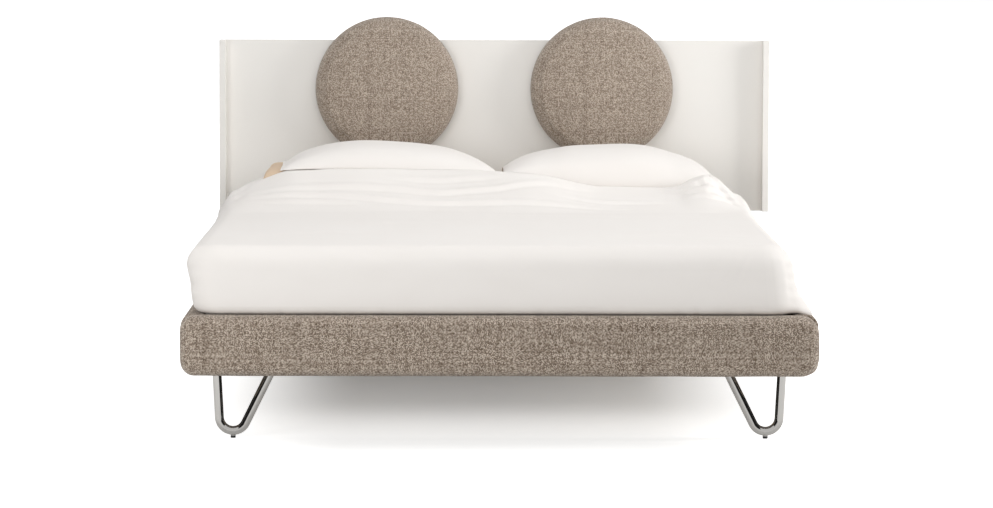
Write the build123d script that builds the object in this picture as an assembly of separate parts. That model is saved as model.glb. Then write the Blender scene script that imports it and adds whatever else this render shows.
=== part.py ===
from build123d import *
import os
from math import cos, radians, sin, sqrt, tan

# A double bed: a ring of padded rails on chrome loop legs, a slatted base inside it, a lacquered
# headboard with two wings, two round headrests that hang on it, and a made-up mattress.
# Lengths are in millimetres. X runs across the bed, Y from the foot to the head, Z up from the
# floor. The origin is on the floor, in the middle of the whole bed.

# Mattress
mattress_width = 1600.0
mattress_length = 2000.0
mattress_thickness = 223.0
mattress_recess = 36.0
mattress_corner_radius = 78.0
mattress_top_radius = 46.0
mattress_swell = 32.0
mattress_swell_radius = 30.0
mattress_foot_gap = 4.0
mattress_head_gap = 20.0
mattress_side_gap = 6.5

# Clearances that are used again and again
soft_clearance = 0.3
running_clearance = 0.3
overrun = 10.0

# Coverlet: the layer over the mattress, tucked in behind the rails
coverlet_thickness = 3.5
coverlet_tuck = 26.0
coverlet_slope_length = 290.0
coverlet_fold_height = 13.0
coverlet_fold_count = 4
coverlet_overlap = 180.0
coverlet_side_slope = 88.0

# Pillows: a lower one under the coverlet and an upper one on it, on each side
pillow_width = 690.0
pillow_depth = 430.0
pillow_rise_left = 80.0
pillow_sink_left = 0.0
pillow_rise_right = 72.0
pillow_sink_right = 50.0
pillow_flat_share = 0.9
pillow_gap = 20.0
pillow_draw = 16.0
pillow_seam = 9.0
pillow_head_gap = 17.0
lower_pillow_width = 708.0
lower_pillow_depth = 432.0
lower_pillow_height_left = 113.0
lower_pillow_height_right = 64.0
lower_pillow_crown = 150.0
pillow_station_shares = (-0.5, -0.42, -0.26, 0.0, 0.26, 0.42, 0.5)
pillow_crown_shares = (0.2, 0.55, 0.88, 1.0, 0.88, 0.55, 0.2)

# Rails: a timber board, foam on it and a woven cover round both
rail_thickness = 68.0
rail_height = 167.0
rail_underside = 178.0
rail_edge_radius = 33.0
rail_corner_radius = 36.0
rail_inner_radius = 10.0
rail_cover_thickness = 1.2
rail_cover_return = 22.0
foam_front = 18.0
foam_edge = 14.0
rail_joint_gap = 0.3

# Hexagon bolts, all alike
bolt_radius = 4.0
bolt_length = 20.0
bolt_head_height = 5.3
bolt_head_across_flats = 13.0
bolt_clearance = 0.25
bolt_pilot_clearance = 0.05

# Corner brackets
bracket_thickness = 5.0
bracket_base_rise = 5.0
bracket_height = 84.0
bracket_arm_across = 232.0
bracket_arm_along = 112.0
bracket_bolt_inset = 34.0
bracket_nut_height = 8.0
bracket_nut_radius = 7.5

# Loop legs
leg_tube_diameter = 25.0
leg_tube_wall = 2.0
leg_bend_radius = 38.0
leg_foot_x = 735.0
leg_set_back = 22.0
leg_outer_lean = 3.0
leg_inner_lean = 26.3
leg_plate_thickness = 6.0
leg_plate_length = 206.0
leg_plate_width = 78.0
leg_plate_gap = 3.0
leg_bolt_spacing_x = 100.0
leg_bolt_spacing_y = 46.0
leg_boss_radius = 7.0
leg_boss_proud = 1.5
leg_boss_height = 25.0

# Levelling glides
glide_radius = 7.0
glide_height = 6.0
glide_chamfer = 0.8
glide_stud_radius = 3.0
glide_stud_length = 20.0
glide_bore_depth = 22.0
glide_thread_clearance = 0.05

# Slatted base
base_tube_width = 30.0
base_tube_height = 30.0
base_tube_wall = 2.0
base_side_gap = 4.0
slat_count = 14
slat_width = 68.0
slat_thickness = 8.0
slat_crown = 7.0
slat_end_margin = 24.0
holder_length = 84.0
holder_width = 44.0
holder_floor = 3.0
holder_roof = 3.0
holder_play = 1.8
slat_insertion = 30.0
ledge_flange = 35.0
ledge_thickness = 4.0
ledge_end_gap = 30.0
ledge_screw_count = 6
ledge_screw_radius = 2.5
ledge_screw_length = 25.0
ledge_screw_head_radius = 5.0
ledge_screw_head_height = 3.0
ledge_screw_margin = 90.0

# Headboard: a panel between two wings that stand forward of it
headboard_width = 1790.0
headboard_height = 557.0
headboard_underside = 480.0
headboard_depth = 58.0
wing_thickness = 20.0
headboard_panel_thickness = 16.0
wing_edge_chamfer = 1.0
support_width = 50.0
support_thickness = 8.0
support_x = 420.0
support_foot_rise = 24.0
support_top_drop = 110.0
support_crank_gap = 7.0
support_bolt_margin = 30.0
support_panel_rise = 50.0
support_panel_bolts = 3

# Round headrests
disc_diameter = 464.0
disc_thickness = 74.0
disc_crown = 7.0
disc_front_radius = 36.0
disc_rear_radius = 10.0
disc_centre_x = 350.0
disc_hang_drop = 157.0
disc_cover_thickness = 1.2
disc_cover_return = 22.0
disc_board_thickness = 12.0
disc_foam_rim = 13.0
hook_width = 60.0
hook_thickness = 3.0
hook_drop = 40.0
hook_tail = 24.0
hook_stand_off = 6.0
bumper_radius = 24.0
bumper_drop = 142.0
disc_screw_radius = 2.0
disc_screw_length = 11.0
disc_screw_head_radius = 4.0
disc_screw_head_height = 2.0
disc_screw_spacing_x = 36.0
disc_screw_spacing_z = 60.0
disc_screw_rise = 14.0

# Heights, from the floor up
rail_top = rail_underside + rail_height
mattress_underside = rail_top - mattress_recess
slat_seat_z = mattress_underside - soft_clearance - slat_crown - slat_thickness
base_top_z = slat_seat_z - holder_floor
base_underside_z = base_top_z - base_tube_height
mattress_top = mattress_underside + mattress_thickness
lower_pillow_base = mattress_top + soft_clearance
lower_pillow_heights = {-1: lower_pillow_height_left, 1: lower_pillow_height_right}
coverlet_base = lower_pillow_base + soft_clearance + coverlet_thickness
coverlet_crests = {side: coverlet_base + height for side, height in lower_pillow_heights.items()}
coverlet_high = max(coverlet_crests.values())
upper_pillow_forms = {-1: (pillow_rise_left, pillow_sink_left), 1: (pillow_rise_right, pillow_sink_right)}
bracket_base_z = rail_underside + rail_cover_return + bracket_base_rise
leg_plate_underside = bracket_base_z - leg_plate_thickness
leg_plate_top = bracket_base_z

# Widths: half sizes either side of the middle
ring_inner_x = mattress_width / 2 + coverlet_thickness + mattress_side_gap
ring_outer_x = ring_inner_x + rail_thickness
board_face_x = ring_inner_x + rail_cover_thickness
base_outer_x = board_face_x - bracket_thickness - base_side_gap

# Lengths: from the foot rail's front face to the bolt heads behind the headboard
ring_inner_length = mattress_foot_gap + mattress_length + mattress_head_gap
ring_length = ring_inner_length + 2 * rail_thickness
overall_length = ring_length + headboard_depth + support_thickness + bolt_head_height
foot_face_y = -overall_length / 2
ring_mid_y = foot_face_y + ring_length / 2
ring_inner_y = ring_inner_length / 2
ring_outer_y = ring_length / 2
board_face_y = ring_inner_y + rail_cover_thickness
base_outer_y = board_face_y - bracket_thickness - base_side_gap
head_face_y = ring_mid_y + ring_outer_y
mattress_foot_y = ring_mid_y - ring_inner_y + mattress_foot_gap
mattress_head_y = mattress_foot_y + mattress_length
pillow_rear_y = mattress_head_y - pillow_head_gap
pillow_front_y = pillow_rear_y - pillow_depth
leg_y = ring_inner_y - leg_set_back

# Headboard and headrests
headboard_front_y = head_face_y
headboard_back_y = headboard_front_y + headboard_depth
headboard_top = headboard_underside + headboard_height
panel_front_y = headboard_back_y - headboard_panel_thickness
hook_rear_y = panel_front_y - hook_stand_off
hook_front_y = hook_rear_y - hook_thickness
disc_rear_y = hook_front_y + disc_cover_thickness
disc_radius = disc_diameter / 2
disc_centre_z = headboard_top - disc_hang_drop
disc_board_radius = disc_radius - disc_cover_thickness - disc_foam_rim
disc_window_radius = disc_board_radius - disc_cover_return

sides = {"left": -1, "right": 1}
ends = {"front": -1, "rear": 1}


def block(x_span, y_span, z_span):
    # A box between two corners; a span may run either way.
    spans = (x_span, y_span, z_span)
    lows = [min(span) for span in spans]
    sizes = [abs(span[1] - span[0]) for span in spans]
    return Pos(*lows) * Box(*sizes, align=(Align.MIN, Align.MIN, Align.MIN))


def rod(origin, direction, radius, length):
    # A round bar that starts at a point and runs along a direction.
    seat = Plane(origin=origin, z_dir=direction)
    return seat * Cylinder(radius, length, align=(Align.CENTER, Align.CENTER, Align.MIN))


def hex_bolt(origin, direction):
    # The head stands on the near side of its seat and the shank runs in from there.
    seat = Plane(origin=origin, z_dir=direction)
    corner_radius = bolt_head_across_flats / 2 / cos(radians(30))
    head = extrude(seat * RegularPolygon(corner_radius, 6), amount=-bolt_head_height)
    return rod(origin, direction, bolt_radius, bolt_length) + head


def shank_hole(origin, direction, length, clearance):
    # A hole for one bolt, open a little before its seat.
    start = Vector(*origin) - Vector(*direction) * overrun
    return rod(tuple(start), direction, bolt_radius + clearance, length + overrun)


def bracket_bolt_seats(side, end):
    # Where the bolts of one corner bracket sit: two into the end rail, two into the side rail.
    height = bracket_base_z + bracket_height / 2
    near_y = ring_mid_y + end * (board_face_y - bracket_thickness)
    near_x = side * (board_face_x - bracket_thickness)
    across = (bracket_arm_across - bracket_bolt_inset, leg_bolt_spacing_x - bracket_bolt_inset)
    along = (bracket_arm_along - bracket_bolt_inset / 2, bracket_bolt_inset)
    seats = [((side * (board_face_x - step), near_y, height), (0, end, 0)) for step in across]
    for step in along:
        y = ring_mid_y + end * (board_face_y - step)
        seats.append(((near_x, y, height), (side, 0, 0)))
    return seats


def leg_plate_middle():
    # The middle of a leg's top plate, as distances from the bed's middle.
    x = ring_inner_x - leg_plate_gap - leg_plate_length / 2
    y = ring_inner_y - leg_plate_gap - leg_plate_width / 2
    return x, y


def leg_bolt_seats(side, end):
    # The four bolts that hold a leg's plate up against its corner bracket.
    x_mid, y_mid = leg_plate_middle()
    seats = []
    for dx in (-leg_bolt_spacing_x / 2, leg_bolt_spacing_x / 2):
        for dy in (-leg_bolt_spacing_y / 2, leg_bolt_spacing_y / 2):
            x = side * (x_mid + dx)
            y = ring_mid_y + end * (y_mid + dy)
            seats.append(((x, y, leg_plate_underside), (0, 0, 1)))
    return seats


def support_rail_seats(side):
    # The two bolts that hold a headboard support to the head rail.
    y = head_face_y + support_thickness
    low = rail_underside + support_foot_rise + support_bolt_margin
    high = rail_top - support_bolt_margin
    return [((side * support_x, y, z), (0, -1, 0)) for z in (low, high)]


def support_panel_seats(side):
    # The bolts that hold a headboard support to the back panel.
    y = headboard_back_y + support_thickness
    low = headboard_underside + support_panel_rise
    high = headboard_top - support_top_drop - support_bolt_margin
    step = (high - low) / (support_panel_bolts - 1)
    return [((side * support_x, y, low + i * step), (0, -1, 0)) for i in range(support_panel_bolts)]


def ledge_span(end):
    # How far a ledge runs from the ring's middle: just short of the corner bracket.
    return ring_mid_y + end * (board_face_y - bracket_arm_along - ledge_end_gap)


def ledge_screw_seats(side):
    # A row of wood screws along one ledge.
    first = ledge_span(-1) + ledge_screw_margin
    last = ledge_span(1) - ledge_screw_margin
    step = (last - first) / (ledge_screw_count - 1)
    x = side * (board_face_x - ledge_thickness)
    z = base_underside_z - ledge_flange / 2 - ledge_thickness / 2
    return [((x, first + i * step, z), (side, 0, 0)) for i in range(ledge_screw_count)]


def end_rail_form(end, inset):
    # The padded outer shape of the foot or head rail, shrunk all round by the inset.
    x_reach = ring_outer_x - inset
    outer_y = ring_mid_y + end * (ring_outer_y - inset)
    inner_y = ring_mid_y + end * (ring_inner_y + inset)
    form = block((-x_reach, x_reach), (outer_y, inner_y), (rail_underside + inset, rail_top - inset))
    order = 0 if end < 0 else -1
    corners = form.edges().filter_by(Axis.Z).group_by(Axis.Y)[order]
    form = fillet(corners, rail_corner_radius - inset)
    inner_order = -1 if end < 0 else 0
    inner_edges = form.edges().filter_by(Axis.X).group_by(Axis.Y)[inner_order]
    rims = form.faces().sort_by(Axis.Z)[0].edges() + form.faces().sort_by(Axis.Z)[-1].edges()
    outer_edges = [edge for edge in rims if edge not in inner_edges]
    form = fillet(outer_edges, rail_edge_radius - inset)
    inner_edges = form.edges().filter_by(Axis.X).group_by(Axis.Y)[inner_order]
    return fillet(inner_edges, rail_inner_radius - inset)


def side_rail_form(side, inset):
    # The padded outer shape of a side rail, between the end rails.
    y_reach = ring_inner_y - rail_joint_gap - inset
    outer_x = side * (ring_outer_x - inset)
    inner_x = side * (ring_inner_x + inset)
    y_span = (ring_mid_y - y_reach, ring_mid_y + y_reach)
    form = block((inner_x, outer_x), y_span, (rail_underside + inset, rail_top - inset))
    order = 0 if side < 0 else -1
    inner_order = -1 if side < 0 else 0
    form = fillet(form.edges().filter_by(Axis.Y).group_by(Axis.X)[order], rail_edge_radius - inset)
    inner_edges = form.edges().filter_by(Axis.Y).group_by(Axis.X)[inner_order]
    return fillet(inner_edges, rail_inner_radius - inset)


def cover_window_z():
    # The strip of a rail's inner face that the cover leaves bare.
    return (rail_underside + rail_cover_return, rail_top - rail_cover_return)


def end_rail(end):
    # Board, foam and cover of the foot rail (end -1) or the head rail (end 1).
    front_foam = foam_front if end < 0 else 0
    x_reach = ring_outer_x - rail_cover_thickness - foam_front
    outer_y = ring_mid_y + end * (ring_outer_y - rail_cover_thickness - front_foam)
    inner_y = ring_mid_y + end * board_face_y
    low = rail_underside + rail_cover_thickness + foam_edge
    high = rail_top - rail_cover_thickness - foam_edge
    padded = end_rail_form(end, rail_cover_thickness)
    board = padded & block((-x_reach, x_reach), (outer_y, inner_y), (low, high))
    foam = padded - board
    window_y = (ring_mid_y + end * (ring_inner_y - overrun), inner_y)
    cover = end_rail_form(end, 0) - padded
    cover -= block((-board_face_x, board_face_x), window_y, cover_window_z())
    for side in sides.values():
        for origin, direction in bracket_bolt_seats(side, end)[:2]:
            board -= shank_hole(origin, direction, bolt_length, bolt_pilot_clearance)
        if end > 0:
            for origin, direction in support_rail_seats(side):
                hole = shank_hole(origin, direction, bolt_length, bolt_pilot_clearance)
                board -= hole
                cover -= hole
    return board, foam, cover


def side_rail(side):
    # Board, foam and cover of one side rail.
    y_reach = ring_inner_y - rail_joint_gap - rail_cover_thickness
    y_span = (ring_mid_y - y_reach, ring_mid_y + y_reach)
    outer_x = side * (ring_outer_x - rail_cover_thickness - foam_front)
    inner_x = side * board_face_x
    low = rail_underside + rail_cover_thickness + foam_edge
    high = rail_top - rail_cover_thickness - foam_edge
    board = block((inner_x, outer_x), y_span, (low, high))
    padded = side_rail_form(side, rail_cover_thickness)
    foam = padded - board
    window_x = (side * (ring_inner_x - overrun), inner_x)
    cover = side_rail_form(side, 0) - padded
    cover -= block(window_x, (ring_mid_y - ring_inner_y, ring_mid_y + ring_inner_y), cover_window_z())
    for end in ends.values():
        for origin, direction in bracket_bolt_seats(side, end)[2:]:
            board -= shank_hole(origin, direction, bolt_length, bolt_pilot_clearance)
    for origin, direction in ledge_screw_seats(side):
        board -= rod(origin, direction, ledge_screw_radius, ledge_screw_length)
    return board, foam, cover


def corner_bracket(side, end):
    # A folded steel corner: two flanges on the rails and a floor that carries the leg.
    near_x = side * (board_face_x - bracket_arm_across)
    far_x = side * board_face_x
    near_y = ring_mid_y + end * (board_face_y - bracket_arm_along)
    far_y = ring_mid_y + end * board_face_y
    low = bracket_base_z
    high = low + bracket_height
    bracket = block((near_x, far_x), (near_y, far_y), (low, low + bracket_thickness))
    bracket += block((near_x, far_x), (far_y - end * bracket_thickness, far_y), (low, high))
    bracket += block((far_x - side * bracket_thickness, far_x), (near_y, far_y), (low, high))
    for origin, direction in leg_bolt_seats(side, end):
        top = (origin[0], origin[1], low)
        bracket += rod(top, direction, bracket_nut_radius, bracket_thickness + bracket_nut_height)
    seats = leg_bolt_seats(side, end) + bracket_bolt_seats(side, end)
    for origin, direction in seats:
        bracket -= shank_hole(origin, direction, bolt_length + overrun, bolt_clearance)
    return bracket


def leg_axes():
    # The bend's centre height and the point where the lines of the two strands would meet.
    centre_z = glide_height + leg_boss_proud + leg_tube_diameter / 2 + leg_bend_radius
    half_angle = radians(leg_inner_lean + leg_outer_lean) / 2
    tilt = radians(leg_inner_lean - leg_outer_lean) / 2
    reach = leg_bend_radius / sin(half_angle)
    return leg_foot_x + reach * sin(tilt), centre_z - reach * cos(tilt)


def leg(side, end):
    # One loop of chromed tube, welded to its top plate, with a threaded boss in the bend.
    meet_x, meet_z = leg_axes()
    rise = leg_plate_underside + overrun - meet_z
    y = ring_mid_y + end * leg_y
    outer_top = (side * (meet_x + rise * tan(radians(leg_outer_lean))), y, meet_z + rise)
    inner_top = (side * (meet_x - rise * tan(radians(leg_inner_lean))), y, meet_z + rise)
    path = FilletPolyline(outer_top, (side * meet_x, y, meet_z), inner_top, radius=leg_bend_radius)
    start = Plane(origin=path @ 0, z_dir=path % 0)
    ring = Circle(leg_tube_diameter / 2) - Circle(leg_tube_diameter / 2 - leg_tube_wall)
    tube = sweep(start * ring, path=path)
    plate_x, plate_y = leg_plate_middle()
    x_span = (side * (plate_x - leg_plate_length / 2), side * (plate_x + leg_plate_length / 2))
    near_y = ring_mid_y + end * (plate_y - leg_plate_width / 2)
    far_y = ring_mid_y + end * (plate_y + leg_plate_width / 2)
    above = (leg_plate_underside, leg_plate_underside + 2 * leg_tube_diameter + overrun)
    tube -= block((side * ring_outer_x, 0), (y - leg_tube_diameter, y + leg_tube_diameter), above)
    foot = (side * leg_foot_x, y, glide_height)
    boss = rod(foot, (0, 0, 1), leg_boss_radius, leg_boss_height)
    plate = block(x_span, (near_y, far_y), (leg_plate_underside, leg_plate_top))
    loop = tube + boss + plate
    loop -= rod(foot, (0, 0, 1), glide_stud_radius + glide_thread_clearance, glide_bore_depth)
    for origin, direction in leg_bolt_seats(side, end):
        loop -= shank_hole(origin, direction, leg_plate_thickness + overrun, bolt_clearance)
    return loop


def glide(side, end):
    # A levelling glide: a dark foot on a threaded stud that screws up into the leg's boss.
    base = (side * leg_foot_x, ring_mid_y + end * leg_y, 0)
    foot = rod(base, (0, 0, 1), glide_radius, glide_height)
    foot = chamfer(foot.edges().sort_by(Axis.Z)[0], glide_chamfer)
    return foot + rod(base, (0, 0, 1), glide_stud_radius, glide_height + glide_stud_length)


def frame_bolts():
    # Every hexagon bolt of the frame, all one size.
    seats = []
    for side in sides.values():
        seats += support_rail_seats(side) + support_panel_seats(side)
        for end in ends.values():
            seats += bracket_bolt_seats(side, end) + leg_bolt_seats(side, end)
    return [hex_bolt(origin, direction) for origin, direction in seats]


def square_tube(x_span, y_span, axis):
    # A hollow steel tube of the slatted base, open at both ends.
    outer = block(x_span, y_span, (base_underside_z, base_top_z))
    x_in = (min(x_span) + base_tube_wall, max(x_span) - base_tube_wall)
    y_in = (min(y_span) - overrun, max(y_span) + overrun)
    if axis == "x":
        x_in = (min(x_span) - overrun, max(x_span) + overrun)
        y_in = (min(y_span) + base_tube_wall, max(y_span) - base_tube_wall)
    z_in = (base_underside_z + base_tube_wall, base_top_z - base_tube_wall)
    return outer - block(x_in, y_in, z_in)


def base_side_tube(side):
    # The long tube along one side of the slatted base.
    x_span = (side * (base_outer_x - base_tube_width), side * base_outer_x)
    return square_tube(x_span, (ring_mid_y - base_outer_y, ring_mid_y + base_outer_y), "y")


def base_end_tube(end):
    # The cross tube at one end, between the long tubes.
    x_reach = base_outer_x - base_tube_width
    y_span = (ring_mid_y + end * (base_outer_y - base_tube_width), ring_mid_y + end * base_outer_y)
    return square_tube((-x_reach, x_reach), y_span, "x")


def base_centre_tube():
    # The long tube down the middle, between the cross tubes.
    y_reach = base_outer_y - base_tube_width
    half = base_tube_width / 2
    return square_tube((-half, half), (ring_mid_y - y_reach, ring_mid_y + y_reach), "y")


def slat_rows():
    # The Y of each row of slats, spread evenly along the base.
    first = ring_mid_y - base_outer_y + base_tube_width + slat_end_margin + holder_length / 2
    last = 2 * ring_mid_y - first
    step = (last - first) / (slat_count - 1)
    return [first + i * step for i in range(slat_count)]


def slat(side, y):
    # One sprung slat, bowed upwards between its two holders.
    start = side * (holder_width / 2 - slat_insertion / 2)
    stop = side * (base_outer_x - base_tube_width / 2 - holder_width / 2 + slat_insertion)
    middle = (start + stop) / 2
    low = slat_seat_z
    high = low + slat_thickness
    under = ThreePointArc((start, low), (middle, low + slat_crown), (stop, low))
    over = ThreePointArc((stop, high), (middle, high + slat_crown), (start, high))
    outline = Wire([under, Line((stop, low), (stop, high)), over, Line((start, high), (start, low))])
    face = Plane.XZ * make_face(outline)
    return Pos(0, y, 0) * extrude(face, amount=slat_width / 2, both=True)


def slat_holder(x, y, mouths):
    # A plastic cap that holds the ends of the slats that enter it, on the sides named in mouths.
    pocket_height = slat_thickness + holder_play
    x_span = (x - holder_width / 2, x + holder_width / 2)
    y_span = (y - holder_length / 2, y + holder_length / 2)
    top = slat_seat_z + pocket_height + holder_roof
    holder = block(x_span, y_span, (base_top_z, top))
    pocket_y = (y - slat_width / 2 - soft_clearance, y + slat_width / 2 + soft_clearance)
    pocket_z = (slat_seat_z, slat_seat_z + pocket_height)
    for mouth in mouths:
        edge = x + mouth * holder_width / 2
        inner = edge - mouth * (slat_insertion / len(mouths) + soft_clearance)
        holder -= block((inner, edge + mouth * overrun), pocket_y, pocket_z)
    return holder


def slat_holders():
    # One holder at each outer end of a slat and one double holder on the middle tube.
    outer = base_outer_x - base_tube_width / 2
    holders = []
    for y in slat_rows():
        holders.append(slat_holder(0, y, (-1, 1)))
        for side in sides.values():
            holders.append(slat_holder(side * outer, y, (-side,)))
    return holders


def side_ledge(side):
    # A steel angle along a side rail that the slatted base lies on.
    y_span = (ledge_span(-1), ledge_span(1))
    face = side * board_face_x
    low = base_underside_z - ledge_flange
    upright = block((face - side * ledge_thickness, face), y_span, (low, base_underside_z))
    shelf_z = (base_underside_z - ledge_thickness, base_underside_z)
    ledge = upright + block((face - side * ledge_flange, face), y_span, shelf_z)
    for origin, direction in ledge_screw_seats(side):
        ledge -= rod(origin, direction, ledge_screw_radius, ledge_screw_length)
    return ledge


def ledge_screws():
    # Round-headed wood screws through the ledges into the side boards.
    screws = []
    for side in sides.values():
        for origin, direction in ledge_screw_seats(side):
            back = tuple(-part for part in direction)
            head = rod(origin, back, ledge_screw_head_radius, ledge_screw_head_height)
            shank = rod(origin, direction, ledge_screw_radius, ledge_screw_length)
            screws.append(head + shank)
    return screws


def headboard_side_board(side):
    # A wing at one side of the headboard, with eased edges, that stands forward of the panel.
    half = headboard_width / 2
    x_span = (side * (half - wing_thickness), side * half)
    board = block(x_span, (headboard_front_y, headboard_back_y), (headboard_underside, headboard_top))
    return chamfer(board.edges().filter_by(Axis.Z).group_by(Axis.Y)[0], wing_edge_chamfer)


def headboard_back_panel():
    # The panel between the wings, bored for the supports' bolts.
    half = headboard_width / 2 - wing_thickness
    panel = block((-half, half), (panel_front_y, headboard_back_y), (headboard_underside, headboard_top))
    for side in sides.values():
        for origin, direction in support_panel_seats(side):
            panel -= shank_hole(origin, direction, bolt_length, bolt_pilot_clearance)
    return panel


def headboard_support(side):
    # A cranked flat bar from the head rail up behind the headboard.
    low = rail_underside + support_foot_rise
    crank_high = headboard_underside - support_crank_gap
    crank_low = crank_high - headboard_depth
    top = headboard_top - support_top_drop
    near = head_face_y
    far = headboard_back_y
    depth = support_thickness
    rise = support_thickness * tan(radians(45) / 2)
    outline = Polyline(
        (near, low),
        (near, crank_low + rise),
        (far, crank_high + rise),
        (far, top),
        (far + depth, top),
        (far + depth, crank_high),
        (near + depth, crank_low),
        (near + depth, low),
        close=True,
    )
    bar = extrude(Plane.YZ * make_face(outline), amount=support_width / 2, both=True)
    bar = Pos(side * support_x, 0, 0) * bar
    for origin, direction in support_rail_seats(side) + support_panel_seats(side):
        bar -= shank_hole(origin, direction, bolt_length, bolt_clearance)
    return bar


def disc_form(inset):
    # The padded outer shape of a headrest, its back on the local XY plane and its front along +Z.
    radius = disc_radius - inset
    depth = disc_thickness - 2 * inset
    shoulder = depth - disc_crown
    crown_radius = (radius**2 + disc_crown**2) / (2 * disc_crown)
    halfway = depth - crown_radius + sqrt(crown_radius**2 - (radius / 2) ** 2)
    crown = ThreePointArc((radius, shoulder), (radius / 2, halfway), (0, depth))
    body = Polyline((0, depth), (0, 0), (radius, 0), (radius, shoulder))
    profile = make_face(Wire([crown, *body.edges()]))
    outer = profile.vertices().group_by(Axis.X)[-1].sort_by(Axis.Y)
    profile = fillet(outer[-1], disc_front_radius - inset)
    outer = profile.vertices().group_by(Axis.X)[-1].sort_by(Axis.Y)
    profile = fillet(outer[0], disc_rear_radius - inset)
    return Pos(0, 0, inset) * revolve(Plane.XZ * profile, axis=Axis.Z)


def disc_plane(side):
    # Where a headrest's back stands, with its front towards the foot of the bed.
    return Plane(origin=(side * disc_centre_x, disc_rear_y, disc_centre_z), x_dir=(1, 0, 0), z_dir=(0, -1, 0))


def disc_screw_seats(side):
    # The four screws that hold the hook's plate to the headrest's board.
    seats = []
    for dx in (-disc_screw_spacing_x / 2, disc_screw_spacing_x / 2):
        for dz in (0, disc_screw_spacing_z):
            x = side * disc_centre_x + dx
            seats.append(((x, hook_rear_y, disc_centre_z + disc_screw_rise + dz), (0, -1, 0)))
    return seats


def disc_headrest(side):
    # Board, foam and cover of one round headrest.
    place = disc_plane(side)
    board = Pos(0, 0, disc_cover_thickness) * Cylinder(
        disc_board_radius, disc_board_thickness, align=(Align.CENTER, Align.CENTER, Align.MIN)
    )
    padded = disc_form(disc_cover_thickness)
    foam = padded - board
    window = Cylinder(disc_window_radius, 2 * disc_cover_thickness)
    cover = disc_form(0) - padded - window
    board = place * board
    for origin, direction in disc_screw_seats(side):
        board -= rod(origin, direction, disc_screw_radius, disc_screw_length)
    return board, place * foam, place * cover


def disc_hook(side):
    # A steel strap screwed to the headrest's back that hooks over the headboard's top edge.
    x_mid = side * disc_centre_x
    x_span = (x_mid - hook_width / 2, x_mid + hook_width / 2)
    seat_z = headboard_top + running_clearance
    high = seat_z + hook_thickness
    tail_y = headboard_back_y + running_clearance
    hook = block(x_span, (hook_front_y, hook_rear_y), (disc_centre_z - hook_tail, high))
    hook += block(x_span, (hook_front_y, tail_y + hook_thickness), (seat_z, high))
    hook += block(x_span, (tail_y, tail_y + hook_thickness), (headboard_top - hook_drop, high))
    for origin, direction in disc_screw_seats(side):
        hook -= rod(origin, direction, disc_screw_radius, hook_thickness)
    return hook


def disc_bumper(side):
    # A felt-faced block low on the headrest's back that keeps it upright against the panel.
    origin = (side * disc_centre_x, hook_front_y, disc_centre_z - bumper_drop)
    length = panel_front_y - running_clearance - hook_front_y
    return rod(origin, (0, 1, 0), bumper_radius, length)


def disc_screws(side):
    # Pan-headed screws through the hook's plate into the headrest's board.
    screws = []
    for origin, direction in disc_screw_seats(side):
        back = tuple(-part for part in direction)
        head = rod(origin, back, disc_screw_head_radius, disc_screw_head_height)
        screws.append(head + rod(origin, direction, disc_screw_radius, disc_screw_length))
    return screws


def mattress_form(grow):
    # The part held by the rails and the part above them that swells over their edges.
    half = mattress_width / 2 + grow
    y_span = (mattress_foot_y - grow, mattress_head_y + grow)
    swell_low = rail_top + soft_clearance + coverlet_thickness - grow
    top = mattress_top + grow
    held = block((-half, half), y_span, (mattress_underside - grow, swell_low + mattress_swell_radius * 2))
    held = fillet(held.edges().filter_by(Axis.Z), mattress_corner_radius - mattress_swell + grow)
    wide = half + mattress_swell
    above = block((-wide, wide), (y_span[0] - mattress_swell, y_span[1]), (swell_low, top))
    above = fillet(above.edges().filter_by(Axis.Z), mattress_corner_radius + grow)
    above = fillet(above.faces().sort_by(Axis.Z)[-1].edges(), mattress_top_radius + grow)
    above = fillet(above.faces().sort_by(Axis.Z)[0].edges(), mattress_swell_radius + grow)
    return held + above


def coverlet_rise():
    # The stretch of coverlet that climbs in folds over the front of the lower pillows.
    low = mattress_top
    foot = pillow_front_y - coverlet_slope_length
    fold = coverlet_slope_length / coverlet_fold_count
    base = low + coverlet_thickness
    climb = (coverlet_high - base) / (coverlet_fold_count - 1)
    steps = [(foot + i * fold, base + max(0, i - 1) * climb) for i in range(coverlet_fold_count + 1)]
    curves = []
    for start, stop in zip(steps, steps[1:]):
        middle = ((start[0] + stop[0]) / 2, (start[1] + stop[1]) / 2 + coverlet_fold_height / 2)
        curves.append(ThreePointArc(start, middle, stop))
    rear = pillow_front_y + coverlet_overlap
    closing = Polyline(steps[-1], (rear, coverlet_high), (rear, low), (foot, low), steps[0])
    profile = make_face(Wire([*curves, *closing.edges()]))
    half = mattress_width / 2 + mattress_swell - mattress_top_radius / 2
    rise = extrude(Plane.YZ * profile, amount=half, both=True)
    outline = [(-half, low), (-half, base)]
    for side, crest in coverlet_crests.items():
        shoulder = half - coverlet_side_slope
        inner = pillow_gap / 2
        tops = [(side * shoulder, crest), (side * inner, crest)]
        outline += tops[::-side]
    outline += [(half, base), (half, low)]
    front = Plane.XZ * make_face(Polyline(*outline, close=True))
    silhouette = Pos(0, foot - overrun, 0) * extrude(front, amount=-(rear - foot + 2 * overrun))
    return rise & silhouette


def lower_pillow_space(side):
    # The room that the coverlet leaves round one lower pillow.
    reach = side * (lower_pillow_width + pillow_gap / 2 + soft_clearance)
    front = pillow_rear_y - lower_pillow_depth - soft_clearance
    y_span = (front, mattress_head_y + overrun)
    top = coverlet_crests[side] - coverlet_thickness
    return block((0, reach), y_span, (mattress_top - overrun, top))


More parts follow.
